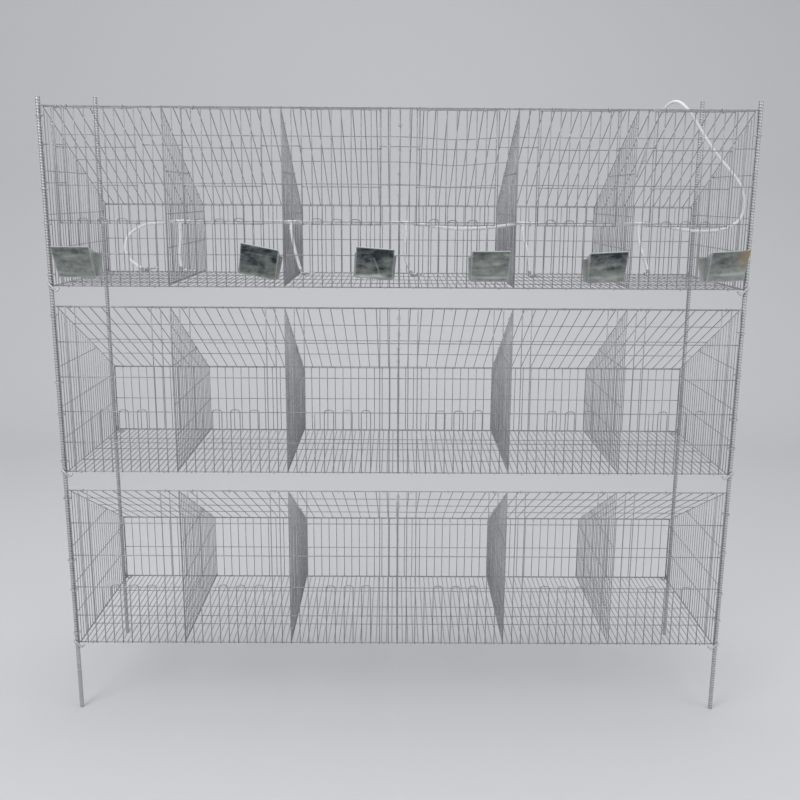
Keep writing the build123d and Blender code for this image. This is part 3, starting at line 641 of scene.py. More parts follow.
@dataclass
class TierPanels:
    """The welded panels of one tier."""

    tier: Tier
    finishes: Finishes
    full_bars: tuple[int, ...] = (0, 1, 2, 10, 11)
    short_bar: int = 3
    door_rails: tuple[int, ...] = (3, 4)
    door_edge: int = 2
    loop_rail: int = 2
    hairpins: tuple[int, ...] = (4, 6, 8)
    hairpin_rise: float = 7.0 * MM
    hairpin_bend: float = 9.5 * MM
    hairpin_foot: float = 0.1
    hairpin_slack: tuple[float, float] = (0.5 * MM, 0.8 * MM)
    floor_pitch: float = 0.015
    roof_pitch: float = 0.030
    cross_wires: int = 5
    side_wires: int = 25
    side_edge: float = 1.25 * MM
    side_rails: tuple[float, ...] = (0.0, 0.095, 0.182, 0.290)
    back_rails: tuple[float, ...] = (0.0, 0.1015, 0.203)
    roof_gap: float = 5.509 * MM
    sag_cell: int = 3
    sag: float = 9.0 * MM
    bow: float = 0.45 * MM
    bar_points: int = 4
    short_points: int = 3
    rail_points: int = 25
    cross_points: int = 19
    roof_points: tuple[int, int] = (7, 49)
    side_points: tuple[int, int] = (3, 7)
    rng: Random = field(init=False)

    def __post_init__(self) -> None:
        """Seed the random bows by tier."""
        self.rng = np.random.default_rng(int(self.tier.value * 1000))

    def save(self, batch: MeshBatch, part: str) -> None:
        """Make one panel of the batch, in place of its CAD node."""
        node = f"{self.tier.word}_{part}"
        self.finishes.build(batch, f"{node}_mesh", Slot.WIRE, "cage", node)

    def bars(self, batch: MeshBatch, starts: Array, ends: Array, radius: float, plane: Triple, points: int) -> None:
        """Add nearly straight wires between two sets of ends."""
        tubes(batch, straight(starts, ends, points, self.bow, self.rng), radius, plane)

    def rail(self, batch: MeshBatch, half: float, y: float, z: float, radius: float, plane: Triple,
             points: int) -> None:
        """Add one wire along X, from -half to half."""
        self.bars(batch, np.array([[-half, y, z]]), np.array([[half, y, z]]), radius, plane, points)

    @staticmethod
    def places(pitch: float) -> Array:
        """Places of the wires of a floor or roof along X: at its pitch, and at both edges."""
        edge = S.inner_x - S.mesh_r
        return np.concatenate([[-edge], np.arange(1, round(2 * S.end_x / pitch)) * pitch - S.end_x, [edge]])

    def front(self) -> None:
        """Front panel: bars outside the weld plane, rails inside it and inverted-U bars under each doorway.

        The upper tier's panel is fitted turned end for end, so its short bars and hairpins are mirrored.
        """
        batch = MeshBatch()
        floor, r = self.tier.value, S.front_r
        y_bar, y_rail = S.front_y - r, S.front_y + r
        lefts = S.cell_x[:, None]
        upper = self.tier is Tier.UPPER
        way = -1 if upper else 1
        full = np.append((lefts + np.array(self.full_bars) * S.pitch).ravel(), S.end_x)
        short = way * (lefts + self.short_bar * S.pitch).ravel()
        sill = S.front_rails[self.loop_rail]
        for xs, top in ((full, S.front_h), (short, sill)):
            starts, ends = (across_x(xs, y_bar, z) for z in (floor - r, floor + top + r))
            self.bars(batch, starts, ends, r, Y, self.bar_points)
        bend = sill + self.hairpin_rise
        shape = fillet([(0, -r), (0, bend), (S.pitch, bend), (S.pitch, -r)], self.hairpin_bend)
        spots = across_x(way * (lefts + np.array(self.hairpins) * S.pitch).ravel(), y_bar, floor)
        paths = copies(shape, spots, (way, 0, 0), Z)
        for axis, slack in zip((0, 2), self.hairpin_slack):
            paths[:, :, axis] += self.rng.normal(0, slack, (len(spots), 1)) * (shape[:, 1] > self.hairpin_foot)
        tubes(batch, paths, r, Y)
        end, edge = S.end_x - S.clear, self.door_edge * S.pitch + r
        for i, height in enumerate(S.front_rails):
            if upper and i in self.door_rails:
                bars = np.append(S.cell_x, S.end_x)
                starts, ends = (across_x(np.clip(bars + reach, -end, end), y_rail, floor + height)
                                for reach in (-edge, edge))
                self.bars(batch, starts, ends, r, Y, self.short_points)
            else:
                self.rail(batch, end, y_rail, floor + height, r, Y, self.rail_points)
        self.save(batch, "front_panel")

    def floor(self) -> None:
        """Floor panel: closely spaced wires front to back on top of five cross wires."""
        batch = MeshBatch()
        z, r = self.tier.value, S.mesh_r
        starts, ends = (across_x(self.places(self.floor_pitch), y, z + r) for y in (S.inner_front, S.inner_back))
        self.bars(batch, starts, ends, r, Z, self.bar_points)
        for y in np.linspace(S.inner_front + r, S.inner_back - r, self.cross_wires):
            self.rail(batch, S.inner_x, y, z - r, r, Z, self.cross_points)
        self.save(batch, "floor_panel")

    def on_slope(self, y: float) -> float:
        """Height of the roof's weld plane at a depth."""
        return self.tier.value + S.front_h - S.slope * (y - S.front_y)

    def roof(self) -> None:
        """Roof panel: wires down the slope under five cross wires."""
        batch = MeshBatch()
        r, up = S.mesh_r, S.mesh_r * S.roof_normal
        first = S.front_y + self.roof_gap
        starts, ends = (across_x(self.places(self.roof_pitch), y, self.on_slope(y)) - up
                        for y in (first, S.inner_back))
        self.bars(batch, starts, ends, r, X, self.roof_points[0])
        for y in np.linspace(first + r, S.inner_back - r, self.cross_wires):
            self.rail(batch, S.inner_x, y + up[1], self.on_slope(y) + up[2], r, Z, self.roof_points[1])
        if self.tier is Tier.UPPER:
            self.sink(batch)
        self.save(batch, "roof_panel")

    def sink(self, batch: MeshBatch) -> None:
        """Press the roof in over one cell, by sag sin(pi u)^2 sin(pi v) at shares u of the cell and v of the depth."""
        for points in batch.points:
            u = np.clip((points[:, 0] - S.cell_x[self.sag_cell]) / S.cell, 0.0, 1.0)
            v = np.clip((points[:, 1] - S.front_y) / S.depth, 0.0, 1.0)
            points[:, 2] -= self.sag * np.sin(math.pi * u) ** 2 * np.sin(math.pi * v)

    def back(self) -> None:
        """Back panel: bars outside, three rails inside."""
        batch = MeshBatch()
        z, r = self.tier.value, S.mesh_r
        xs = np.linspace(-S.end_x, S.end_x, round(2 * S.end_x / S.pitch) + 1)
        starts, ends = (across_x(xs, S.back_y + r, height) for height in (z - r, z + S.back_h + r))
        self.bars(batch, starts, ends, r, Y, self.short_points)
        for height in self.back_rails:
            self.rail(batch, S.end_x - S.clear, S.back_y - r, z + height, r, Y, self.cross_points)
        self.save(batch, "back_panel")

    def side(self, part: str, x: float, outward: int, low: float, drop: float, first: float, last: float) -> None:
        """End panel or divider: bars trimmed under the slope on one side, rails on the other.

        Args:
            part: Node name without its tier.
            x: Weld plane.
            outward: Side of the bars, -1 or 1.
            low: Lowest point above the tier's floor.
            drop: How far the top edge lies under the roof line.
            first: First bar's place in Y.
            last: Last bar's place in Y.
        """
        batch = MeshBatch()
        base, r = self.tier.value, S.side_r
        ys = np.linspace(first, last, self.side_wires)
        starts, ends = (np.stack(np.broadcast_arrays(x + outward * r, ys, z), -1)
                        for z in (base + low, self.on_slope(ys) - drop))
        self.bars(batch, starts, ends, r, X, self.side_points[0])
        for height in self.side_rails:
            z = low + r + height * (1 - low / S.front_h)
            reach = min(S.inner_back, S.front_y + (S.front_h - drop - z) / S.slope)
            starts, ends = (np.array([[x - outward * r, y, base + z]]) for y in (S.inner_front, reach))
            self.bars(batch, starts, ends, r, X, self.side_points[1])
        self.save(batch, part)

    def build(self) -> None:
        """Make every panel of the tier."""
        self.front()
        self.floor()
        self.roof()
        self.back()
        edge, room = self.side_edge, S.clear + self.side_edge
        for word, side in (("left", -1), ("right", 1)):
            self.side(f"{word}_end_panel", side * S.end_x, side, -edge, 0.0, S.front_y + room, S.back_y - room)
        low = S.mesh_tall + S.clear
        drop = low * math.hypot(1, S.slope)
        for i in range(1, S.cells):
            self.side(f"divider_{i}", S.cell_x[i], 1, low, drop, S.inner_front + edge, S.inner_back - edge)


@dataclass
class Doors:
    """Mesh doors of the upper tier, each hung on two rings from the top rail."""

    finishes: Finishes
    rails: tuple[float, ...] = (0.161, 0.255333, 0.349667, 0.444)
    shifts: tuple[float, ...] = (-0.017, 0.0, 0.002, -0.007, 0.004, -0.009)
    bars: tuple[int, int] = (2, 10)
    bows: tuple[float, float] = (0.6 * MM, 0.5 * MM)
    points: tuple[int, int] = (4, 6)
    overhang: float = 2.0 * MM
    ring_spots: tuple[float, float] = (0.080, 0.220)
    ring_r: float = 1.0 * MM
    loop_r: float = 2.9 * MM
    hinge_y: float = -0.211407
    seed: int = 61

    def build(self) -> None:
        """Make the six doors."""
        rng = np.random.default_rng(self.seed)
        floor, r = Tier.UPPER.value, S.front_r
        weld = S.front_y - 2 * S.front_tall - S.clear
        loop = stadium(np.array([self.hinge_y, floor + S.front_h]), np.array([weld + r, floor + self.rails[-1]]),
                       self.loop_r)
        for i, shift in enumerate(self.shifts):
            batch = MeshBatch()
            left = S.cell_x[i] + shift
            xs = left + np.arange(self.bars[0], self.bars[1] + 1) * S.pitch
            low, high = (across_x(xs, weld - r, floor + z) for z in (self.rails[0] - r, self.rails[-1] + r))
            tubes(batch, straight(low, high, self.points[0], self.bows[0], rng), r, Y)
            for height in self.rails:
                ends = across_x(xs[[0, -1]] + np.array([-1, 1]) * self.overhang, weld + r, floor + height)
                tubes(batch, straight(ends[:1], ends[1:], self.points[1], self.bows[1], rng), r, Y)
            spots = across_x(left + np.array(self.ring_spots), 0.0, 0.0)
            loops(batch, copies(loop, spots, Y, Z), self.ring_r, X)
            node = f"door_{i + 1}"
            self.finishes.build(batch, f"{node}_mesh", Slot.WIRE, node, node)


@dataclass
class Posts:
    """Ribbed posts with a V cradle under each corner of a tier."""

    finishes: Finishes
    post_x: float = 0.908813
    post_in: float = 6.0 * MM
    heights: tuple[float, float] = (1.685, 1.730)
    sides: int = 20
    core_r: float = 5.2 * MM
    rib_h: float = 0.8 * MM
    rib_pitch: float = 7.3 * MM
    rib_lean: float = 0.12
    rib_power: float = 0.7
    rib_fade: float = 3.0
    rib_rows: int = 5
    seam_h: float = 0.8
    seam_w: float = 0.2
    cap: float = 0.25
    rib_wear: float = 1.0
    rod_wear: float = 0.55
    tone: float = -0.15
    rod_r: float = 2.98 * MM
    rod_bend: float = 5.0 * MM
    rod_steps: int = 7
    rod_sides: int = 12
    rod_out: float = 9.0 * MM
    vertex_x: float = 0.8945
    vertex_z: float = -14.925 * MM
    inner: float = 9.0 * MM
    outer: tuple[float, float] = (18.0 * MM, 21.0 * MM)
    bead: tuple[float, float] = (15.0 * MM, 2.6 * MM)
    bead_out: float = 5.4 * MM
    bead_sides: int = 10
    bead_way: tuple[float, float] = (0.5, 0.86)
    bead_spots: tuple[tuple[float, float], ...] = ((4.0 * MM, -1.5 * MM), (-2.0 * MM, 9.0 * MM))

    def bar(self, batch: MeshBatch, x: float, y: float, height: float) -> Array:
        """One rolled bar.

        The radius is core + rib * max(0, cos(2 pi (z / pitch + lean cos a)))^power * min(1, fade |sin a|), so the ribs
        lie on its front and back, and a plain seam where |sin a| is small stands a little proud along each side.

        Args:
            batch: Mesh to add to.
            x: Middle of the bar.
            y: Middle of the bar.
            height: Its length.

        Returns:
            Height of the rib at each point, as a share.
        """
        step = self.rib_pitch / self.rib_rows
        rows = np.concatenate([[0.0, 0.0], np.arange(step, height, step), [height, height]])[:, None]
        turn = circle(self.sides)
        facing = np.abs(np.sin(turn))
        wave = np.cos(2 * math.pi * (rows / self.rib_pitch + np.cos(turn) * self.rib_lean))
        rib = np.clip(wave, 0.0, 1.0) ** self.rib_power * np.clip(facing * self.rib_fade, 0.0, 1.0)
        radius = self.core_r + self.rib_h * np.maximum(rib, np.where(facing < self.seam_w, self.seam_h, 0.0))
        radius[[1, -2]] = self.core_r
        radius[[0, -1]] = self.core_r * self.cap
        points = np.stack(np.broadcast_arrays(x + radius * np.cos(turn), y + radius * np.sin(turn), rows), -1)
        cap = np.arange(self.sides)[None]
        batch.add(points, grid_faces(len(rows), self.sides), cap[:, ::-1], (len(rows) - 1) * self.sides + cap)
        return rib.ravel()

    def cradles(self, batch: MeshBatch, side: int, y: float) -> None:
        """Three bent rods, each a V with a rounded bottom, welded to the post."""
        line = fillet([(-self.inner, self.inner), (0.0, 0.0), self.outer], self.rod_bend, self.rod_steps)
        spots = on_tiers([side * self.vertex_x], y, (self.vertex_z,))
        tubes(batch, copies(line, spots, (side, 0, 0), Z), self.rod_r, Y, self.rod_sides)

    def beads(self, batch: MeshBatch, side: int, y: float) -> None:
        """Weld beads: squat lumps r(s) = R sqrt(1 - (2 s - 1)^2) where each cradle meets its post."""
        s = np.linspace(0.02, 0.98, 7)
        way = (side * self.bead_way[0], 0.0, self.bead_way[1])
        profile = np.stack([s - 0.5, np.sqrt(1 - (2 * s - 1) ** 2)], -1) * self.bead
        for tier in Tier:
            for shift, lift in self.bead_spots:
                centre = np.array([side * (self.post_x + shift), y, tier.value + lift])
                revolve(batch, profile, centre, way, self.bead_sides)

    def build(self) -> None:
        """Make the four posts, each with the wear that its finish reads."""
        for depth, y, out, height in (("front", S.front_y + self.post_in, -1, self.heights[0]),
                                      ("back", S.back_y - self.post_in, 1, self.heights[1])):
            for word, side in (("left", -1), ("right", 1)):
                batch = MeshBatch()
                rib = self.bar(batch, side * self.post_x, y, height)
                self.cradles(batch, side, y + out * self.rod_out)
                self.beads(batch, side, y + out * self.bead_out)
                wear = np.full(batch.count, self.rod_wear)
                wear[:len(rib)] = self.rib_wear * rib
                node = f"{depth}_{word}_post"
                piece = self.finishes.build(batch, f"{node}_bar", Slot.POST, "cage", node)
                paint(piece, {"wear": wear, "tone": np.full(batch.count, self.tone)})


@dataclass
class Rings:
    """C-rings that tie the panels to the posts and to each other, and the hose to its rail."""

    finishes: Finishes
    wire_r: float = 1.0 * MM
    thin_r: float = 0.8 * MM
    thin_sides: int = 5
    smooth: int = 18
    post_oval: tuple[float, float] = (9.5 * MM, 9.0 * MM)
    post_x: float = 0.90655
    post_y: tuple[float, float] = (4.4 * MM, -4.6 * MM)
    post_tilt: float = 0.16
    clip_left: tuple[float, ...] = (0.028, 0.158, 0.246, 0.426)
    clip_right: tuple[float, ...] = (0.072, 0.152, 0.274, 0.388)
    clip_back: tuple[float, ...] = (0.040, 0.150)
    tie_oval: tuple[float, float] = (10.4 * MM, 7.2 * MM)
    tie_spots: tuple[float, ...] = (-0.5375, -0.2625, 0.0375, 0.3375, 0.6375)
    tie_y: float = 9.2 * MM
    tie_z: float = 0.1658
    divider_oval: tuple[float, float] = (3.9 * MM, 6.0 * MM)
    divider_clips: tuple[float, ...] = (0.045, 0.215, 0.405)
    divider_at: tuple[float, float] = (0.5 * MM, 2.0 * MM)
    divider_way: Triple = (1.0, 0.0, 0.15)
    edge_oval: tuple[float, float] = (5.4 * MM, 3.6 * MM)
    edge_shares: tuple[float, ...] = (0.125, 0.4583, 0.875)
    edge_at: tuple[tuple[float, float], ...] = ((4.2 * MM, S.front_h - 1.6 * MM), (3.4 * MM, -0.9 * MM))
    slope_oval: tuple[float, float] = (4.6 * MM, 3.9 * MM)
    slope_shares: tuple[float, ...] = (0.14, 0.38, 0.62, 0.86)
    slope_in: float = 1.8 * MM
    slope_under: float = 1.6 * MM
    seed: int = 17

    @staticmethod
    def oval(halves: tuple[float, float], points: int = 12) -> Array:
        """Rounded rectangle loop: the superellipse |x/a|^3.2 + |y/b|^3.2 = 1."""
        way = np.stack([np.cos(circle(points)), np.sin(circle(points))], -1)
        return halves * np.sign(way) * np.abs(way) ** (2 / 3.2)

    def post_clips(self, batch: MeshBatch) -> None:
        """Rings round a post, the end panel's first bar and the corner bar, each a little askew."""
        rng = np.random.default_rng(self.seed)
        front, back = S.front_y + self.post_y[0], S.back_y + self.post_y[1]
        for side, heights, y in ((-1, self.clip_left, front), (1, self.clip_right, front), (-1, self.clip_back, back),
                                 (1, self.clip_back, back)):
            spots = on_tiers([side * self.post_x], y, heights)
            tilt = rng.uniform(-self.post_tilt, self.post_tilt, (len(spots), 1, 1))
            loops(batch, copies(self.oval(self.post_oval, self.smooth), spots, X + tilt * Z, Y), self.wire_r, Z)

    def hose_ties(self, batch: MeshBatch) -> None:
        """Loops in the YZ plane round the third rail and the hose."""
        spots = across_x(np.array(self.tie_spots), S.front_y + self.tie_y, Tier.UPPER.value + self.tie_z)
        loops(batch, copies(self.oval(self.tie_oval, self.smooth), spots, Y, Z), self.wire_r, X)

    def panel_clips(self, batch: MeshBatch) -> None:
        """Small rings that tie dividers to the front bars, and roofs and floors to the front rails."""
        aside, behind = self.divider_at
        spots = on_tiers(S.cell_x[1:] + aside, S.front_y + behind, self.divider_clips)
        loops(batch, copies(self.oval(self.divider_oval), spots, self.divider_way, Y), self.thin_r, Z, self.thin_sides)
        xs = [x + share * S.cell for x in S.cell_x for share in self.edge_shares]
        for behind, lift in self.edge_at:
            spots = on_tiers(xs, S.front_y + behind, (lift,))
            loops(batch, copies(self.oval(self.edge_oval), spots, Y, Z), self.thin_r, X, self.thin_sides)

    def slope_clips(self, batch: MeshBatch) -> None:
        """Small rings that tie the roofs' outer wires to the free tops of end panels and dividers."""
        up = S.roof_normal
        end = S.end_x - self.slope_in
        xs = np.concatenate([[-end, end], S.cell_x[1:] + self.divider_at[0]])
        fall = np.array([0.0, S.depth, S.back_h - S.front_h])
        tops = on_tiers(xs, S.front_y, (S.front_h,)) - up * self.slope_under
        spots = (tops[:, None] + np.outer(self.slope_shares, fall)).reshape(-1, 3)
        loops(batch, copies(self.oval(self.slope_oval), spots, X, up), self.thin_r, unit(fall), self.thin_sides)

    def build(self) -> None:
        """Make the rings in two pieces: those that the CAD has, and the small ones."""
        batch = MeshBatch()
        self.post_clips(batch)
        self.hose_ties(batch)
        self.finishes.build(batch, "post_and_hose_rings", Slot.RING, "cage", "hog_rings")
        batch = MeshBatch()
        self.panel_clips(batch)
        self.slope_clips(batch)
        self.finishes.build(batch, "panel_clips", Slot.RING, "cage")


@dataclass(frozen=True)
class Box:
    """How one feed box hangs and looks.

    The hook's place in X, the tilt in degrees, the drop below the usual height and the widths of its two ears. Places
    on its leaning front are shares: x from -1 to 1, and s from 0 at the rim to 1 at the bottom. Its zinc has a tone at
    the middle that grows lighter downward by fade. A mark is (x, s, half width, half height, lighter), a crease is
    (x, s, x, s, height in mm) with a painted highlight line along it, and straw is how strong a straw-coloured tint in
    its upper right corner is.
    """

    x: float
    tilt: float
    drop: float
    ears: tuple[float, float]
    tone: float
    fade: float
    marks: tuple[tuple[float, ...], ...]
    creases: tuple[tuple[float, ...], ...]
    straw: float = 0.0


@dataclass
class Feeders:
    """Folded sheet feed boxes that hang on the second rail by one strap."""

    finishes: Finishes
    boxes: tuple[Box, ...] = (
        Box(-0.8330, 0.0, 0.0, (4.0 * MM, 17.0 * MM), 0.53, 0.25,
            ((-0.5, 0.12, 0.5, 0.05, -0.22), (0.2, 0.2, 0.5, 0.05, -0.2), (-0.2, 0.33, 0.4, 0.04, 0.12),
             (0.35, 0.5, 0.12, 0.05, 0.12), (-0.15, 0.62, 0.35, 0.08, -0.2), (0.15, 0.75, 0.2, 0.05, -0.2)),
            ((-0.6, 0.35, 0.4, 0.28, 0.3),)),
        Box(-0.3575, 10.8, -3.0 * MM, (4.0 * MM, 8.0 * MM), 0.25, 0.26,
            ((-0.15, 0.5, 0.5, 0.14, -0.1), (0.45, 0.45, 0.1, 0.3, 0.1), (0.85, 0.5, 0.12, 0.5, -0.08),
             (0.0, 0.95, 1.0, 0.06, 0.2)),
            ((-0.95, 0.27, 0.95, 0.27, 0.5),)),
        Box(-0.0620, 4.2, 0.0, (5.0 * MM, 6.0 * MM), 0.23, 0.34,
            ((-0.55, 0.94, 0.45, 0.045, 0.85), (0.15, 0.9, 0.35, 0.05, 0.8), (0.7, 0.94, 0.35, 0.06, 0.3),
             (0.15, 0.2, 0.35, 0.15, -0.15), (0.6, 0.37, 0.3, 0.06, 0.3), (-0.6, 0.55, 0.4, 0.2, -0.06)),
            ((-0.5, 0.17, -0.04, 0.33, 0.5), (-0.04, 0.33, 0.17, 0.62, 0.9), (0.17, 0.62, 0.32, 0.92, 0.9),
             (0.95, 0.27, 0.32, 0.52, 0.5))),
        Box(0.2330, -0.4, 6.0 * MM, (6.0 * MM, 5.0 * MM), 0.51, 0.34,
            ((0.35, 0.42, 0.2, 0.05, 0.4), (-0.4, 0.45, 0.3, 0.06, 0.25), (0.1, 0.86, 1.2, 0.035, 0.45),
             (0.85, 0.12, 0.15, 0.04, 0.4)),
            ((-0.9, 0.62, 0.9, 0.6, 0.25),)),
        Box(0.5330, -3.2, 7.0 * MM, (11.0 * MM, 5.0 * MM), 0.39, 0.6,
            ((0.1, 0.15, 0.9, 0.15, -0.1), (0.2, 0.42, 0.6, 0.05, 0.18), (-0.3, 0.5, 0.3, 0.04, 0.25),
             (0.3, 0.55, 0.3, 0.04, -0.2), (0.0, 0.82, 1.2, 0.05, 0.3)),
            ((-0.6, 0.5, 0.9, 0.36, 0.4),)),
        Box(0.8425, -3.3, 2.5 * MM, (18.0 * MM, 3.5 * MM), 0.60, 0.34,
            ((-0.5, 0.3, 0.4, 0.2, -0.25), (-0.1, 0.55, 0.3, 0.05, -0.18), (0.2, 0.76, 0.7, 0.03, 0.42),
             (0.8, 0.72, 0.15, 0.05, 0.4)),
            ((-0.3, 0.76, 0.7, 0.74, 0.35),), 0.8))
    width: float = 0.097
    top: float = 0.105
    bottom: float = 0.023
    back: float = -3.567 * MM
    reach: float = 0.056
    foot: float = 0.008
    side_back: float = 0.086
    wall_back: float = 0.058
    sheet: float = 0.8 * MM
    hem: tuple[tuple[float, float], ...] = ((-1.0 * MM, -4.6 * MM), (-1.2 * MM, -0.3 * MM), (-0.1 * MM, -0.2 * MM))
    fold: float = 0.5 * MM
    fine: float = 2.5 * MM
    columns: int = 45
    tuck: float = 0.05 * MM
    inset: float = 0.3 * MM
    lap: tuple[float, float] = (0.4 * MM, 0.2 * MM)
    ear_taper: float = 0.8
    ear_low: float = 3.0 * MM
    ear_cut: tuple[float, float] = (1.0 * MM, 1.5 * MM)
    front_length: float = 0.095
    belly: float = 0.7 * MM
    waves: int = 7
    wave_x: tuple[float, float] = (-5.0, 5.0)
    wave_s: tuple[float, float] = (1.0, 9.0)
    wave_mm: tuple[float, float] = (0.05, 0.3)
    ridge: float = 5.0 * MM
    # Painted highlight on the rim, the side edges and the bottom fold: the width of its band, then its strength on each
    # of these three.
    rub: float = 2.6 * MM
    edge_wear: tuple[float, float, float] = (1.0, 0.3, 0.35)
    # Painted light on the sides and ears, against the box's own shade: a share of the bright colour, then a lighter
    # tone.
    flank_wear: float = 0.3
    flank_tone: float = 0.25
    # Marks lighter than this mix toward the bright colour as well.
    smear: float = 0.3
    # Painted highlight: how strong the light line along each crease is, for each mm of crease height.
    crease_tone: float = 0.35
    crease_w: float = 1.8 * MM
    straw_x: tuple[float, float] = (0.1, 0.8)
    straw_s: tuple[float, float] = (0.25, 0.75)
    strap_w: float = 0.010
    strap_drop: float = 0.011
    strap_foot: float = 0.006
    strap_bend: float = 0.8 * MM
    hook_z: float = 0.083625
    sharp: float = 32.0
    seed: int = 31

    def off_crease(self, x: Array, s: Array, crease: tuple[float, ...]) -> Array:
        """Distance of shares (x, s) of the front from a crease: |p - a - t (b - a)|, with t held between 0 and 1."""
        size = np.array([self.width / 2, self.front_length])
        start, end = np.array(crease[:2]) * size, np.array(crease[2:4]) * size
        away = np.stack(np.broadcast_arrays(x * size[0], s * size[1]), -1) - start
        run = end - start
        share = np.clip(away @ run / (run @ run), 0.0, 1.0)
        return np.linalg.norm(away - share[..., None] * run, axis=-1)

    def dents(self, box: Box, places: Array, path: Array, rng: Random) -> Array:
        """Moves of the hand-bent sheet along its normal, nought at the rim, the folds and both sides.

        A belly, seven plane waves a sin(k x + m s + p) and each crease's ridge h exp(-d / 5 mm), all under
        sin(pi s) (1 - x^4), s being the share of the leaning front.
        """
        share = np.clip((self.top - path[:, 1]) / (self.top - self.bottom), 0.0, 1.0)
        share[: np.argmin(path[:, 0])] = 0.0
        x = places / (self.width / 2)
        spans = (self.wave_x, self.wave_s, self.wave_mm, (0.0, 2 * math.pi))
        k, m, size, phase = (rng.uniform(*span, self.waves) for span in spans)
        waves = (size * MM * np.sin(k * x[:, None, None] + m * share[:, None] + phase)).sum(-1)
        for crease in box.creases:
            waves += crease[4] * MM * np.exp(-self.off_crease(x[:, None], share, crease) / self.ridge)
        return (self.belly + waves) * np.sin(math.pi * share) * (1 - x ** 4)[:, None]

    def shape(self, box: Box, rng: Random) -> MeshBatch:
        """One box about its hook's middle, not yet tilted or dropped below its hook.

        Args:
            box: How it hangs; its tilt sets the room over the rail.
            rng: Random source of its dents.

        Returns:
            The mesh so far.
        """
        batch = MeshBatch()
        t, half, back = self.sheet, self.width / 2, self.back
        front_top, front_low = back - self.reach, back - self.foot
        lip, wall, ground = front_top + t / 2, back - t / 2, self.bottom + t / 2
        trough = fillet([*((lip + y, self.top + z) for y, z in self.hem), (front_low + t / 2, ground), (wall, ground),
                         (wall, self.wall_back)], self.fold)
        trough[:5, 0] += (self.top - trough[:5, 1]) * (front_low - front_top) / (self.top - self.bottom)
        trough = refine(trough, self.fine)
        places = np.concatenate([[-1.0, -0.98], np.linspace(-0.94, 0.94, self.columns), [0.98, 1.0]])
        places *= half - self.tuck
        band_solid(batch, trough, t, places, self.dents(box, places, trough, rng))
        low = self.bottom + self.inset
        sides = np.array([(front_top + self.lap[0], self.top - self.inset), (front_low + self.lap[1], low),
                          (back, low), (back, self.side_back)])
        ear_top, ear_low = self.side_back - self.lap[1], self.bottom + self.ear_low
        cut_x, cut_z = self.ear_cut
        for side, ear in zip((-1, 1), box.ears):
            plate(batch, sides, 0, side * (half - t / 2), t)
            tip, foot = half + ear, half + ear * self.ear_taper
            outline = np.array([(half - t, ear_top), (tip - cut_x, ear_top), (tip, ear_top - cut_z),
                                (foot, ear_low + cut_z), (foot - cut_x, ear_low), (half - t, ear_low)])
            plate(batch, outline * np.array([side, 1.0]), 1, wall, t)
        batch.points = [p - np.array([0.0, 0.0, box.drop]) for p in batch.points]
        lift = self.hook_z + S.clear + self.strap_w / 2 * abs(math.sin(math.radians(box.tilt))) + t / 2
        behind = S.front_tall + S.clear + t / 2
        strap = fillet([(wall, self.wall_back - box.drop - self.strap_foot), (wall, lift), (behind, lift),
                        (behind, lift - t / 2 - self.strap_drop)], self.strap_bend)
        band_solid(batch, strap, t, np.array([-0.5, 0.0, 0.5]) * self.strap_w, np.zeros((3, len(strap))))
        return batch

    def looks(self, box: Box, points: Array) -> dict[str, Array]:
        """What the zinc of one box reads at each of its points.

        The brightening is a painted highlight, 1 on the rim and 0 from 3.4 mm on, weaker on the side edges and the
        bottom fold, and even painted light on the sides and ears; marks lighter than a set level brighten too. tone is
        the box's own, more on the sides and ears as painted light, plus fade (s - 1/2), each mark's lighter
        exp(-(dx / w)^2 - (ds / h)^2) and a painted highlight line on each crease.

        Args:
            box: The box.
            points: Its points before it is tilted.

        Returns:
            Attribute name to its values.
        """
        half, height = self.width / 2, points[:, 2] + box.drop
        x, s = points[:, 0] / half, (self.top - height) / (self.top - self.bottom)
        away = np.abs(np.stack([self.top - height, half - np.abs(points[:, 0]), height - self.bottom]))
        # Sides and ears: painted light lifts them out of the box's own shade, in the tone and in the brightening below.
        flank = np.abs(x) > 1 - 1.02 * self.sheet / half
        # Painted highlight: a bright band along the rim, the side edges and the bottom fold.
        edge_highlight = np.clip(1.3 - away / self.rub, 0.0, 1.0) * np.array(self.edge_wear)[:, None]
        tone = box.tone - ZincFinish.WORN_GAIN / 2 + box.fade * (s - 0.5) + self.flank_tone * flank
        brightened = self.flank_wear * flank
        for at_x, at_s, wide, tall, lighter in box.marks:
            spot = np.exp(-((x - at_x) / wide) ** 2 - ((s - at_s) / tall) ** 2)
            tone += lighter * spot
            brightened = np.maximum(brightened, (lighter - self.smear) * spot)
        for crease in box.creases:
            # Painted highlight: a light line along each crease.
            tone += self.crease_tone * crease[4] * np.exp(-(self.off_crease(x, s, crease) / self.crease_w) ** 2)
        straw = box.straw * np.interp(x, self.straw_x, (0.0, 1.0)) * np.interp(s, self.straw_s, (1.0, 0.0))
        on_front = points[:, 1] < self.back - 2 * self.sheet
        return {"wear": np.maximum(edge_highlight.max(0) * on_front, brightened), "tone": tone, "straw": straw * on_front}

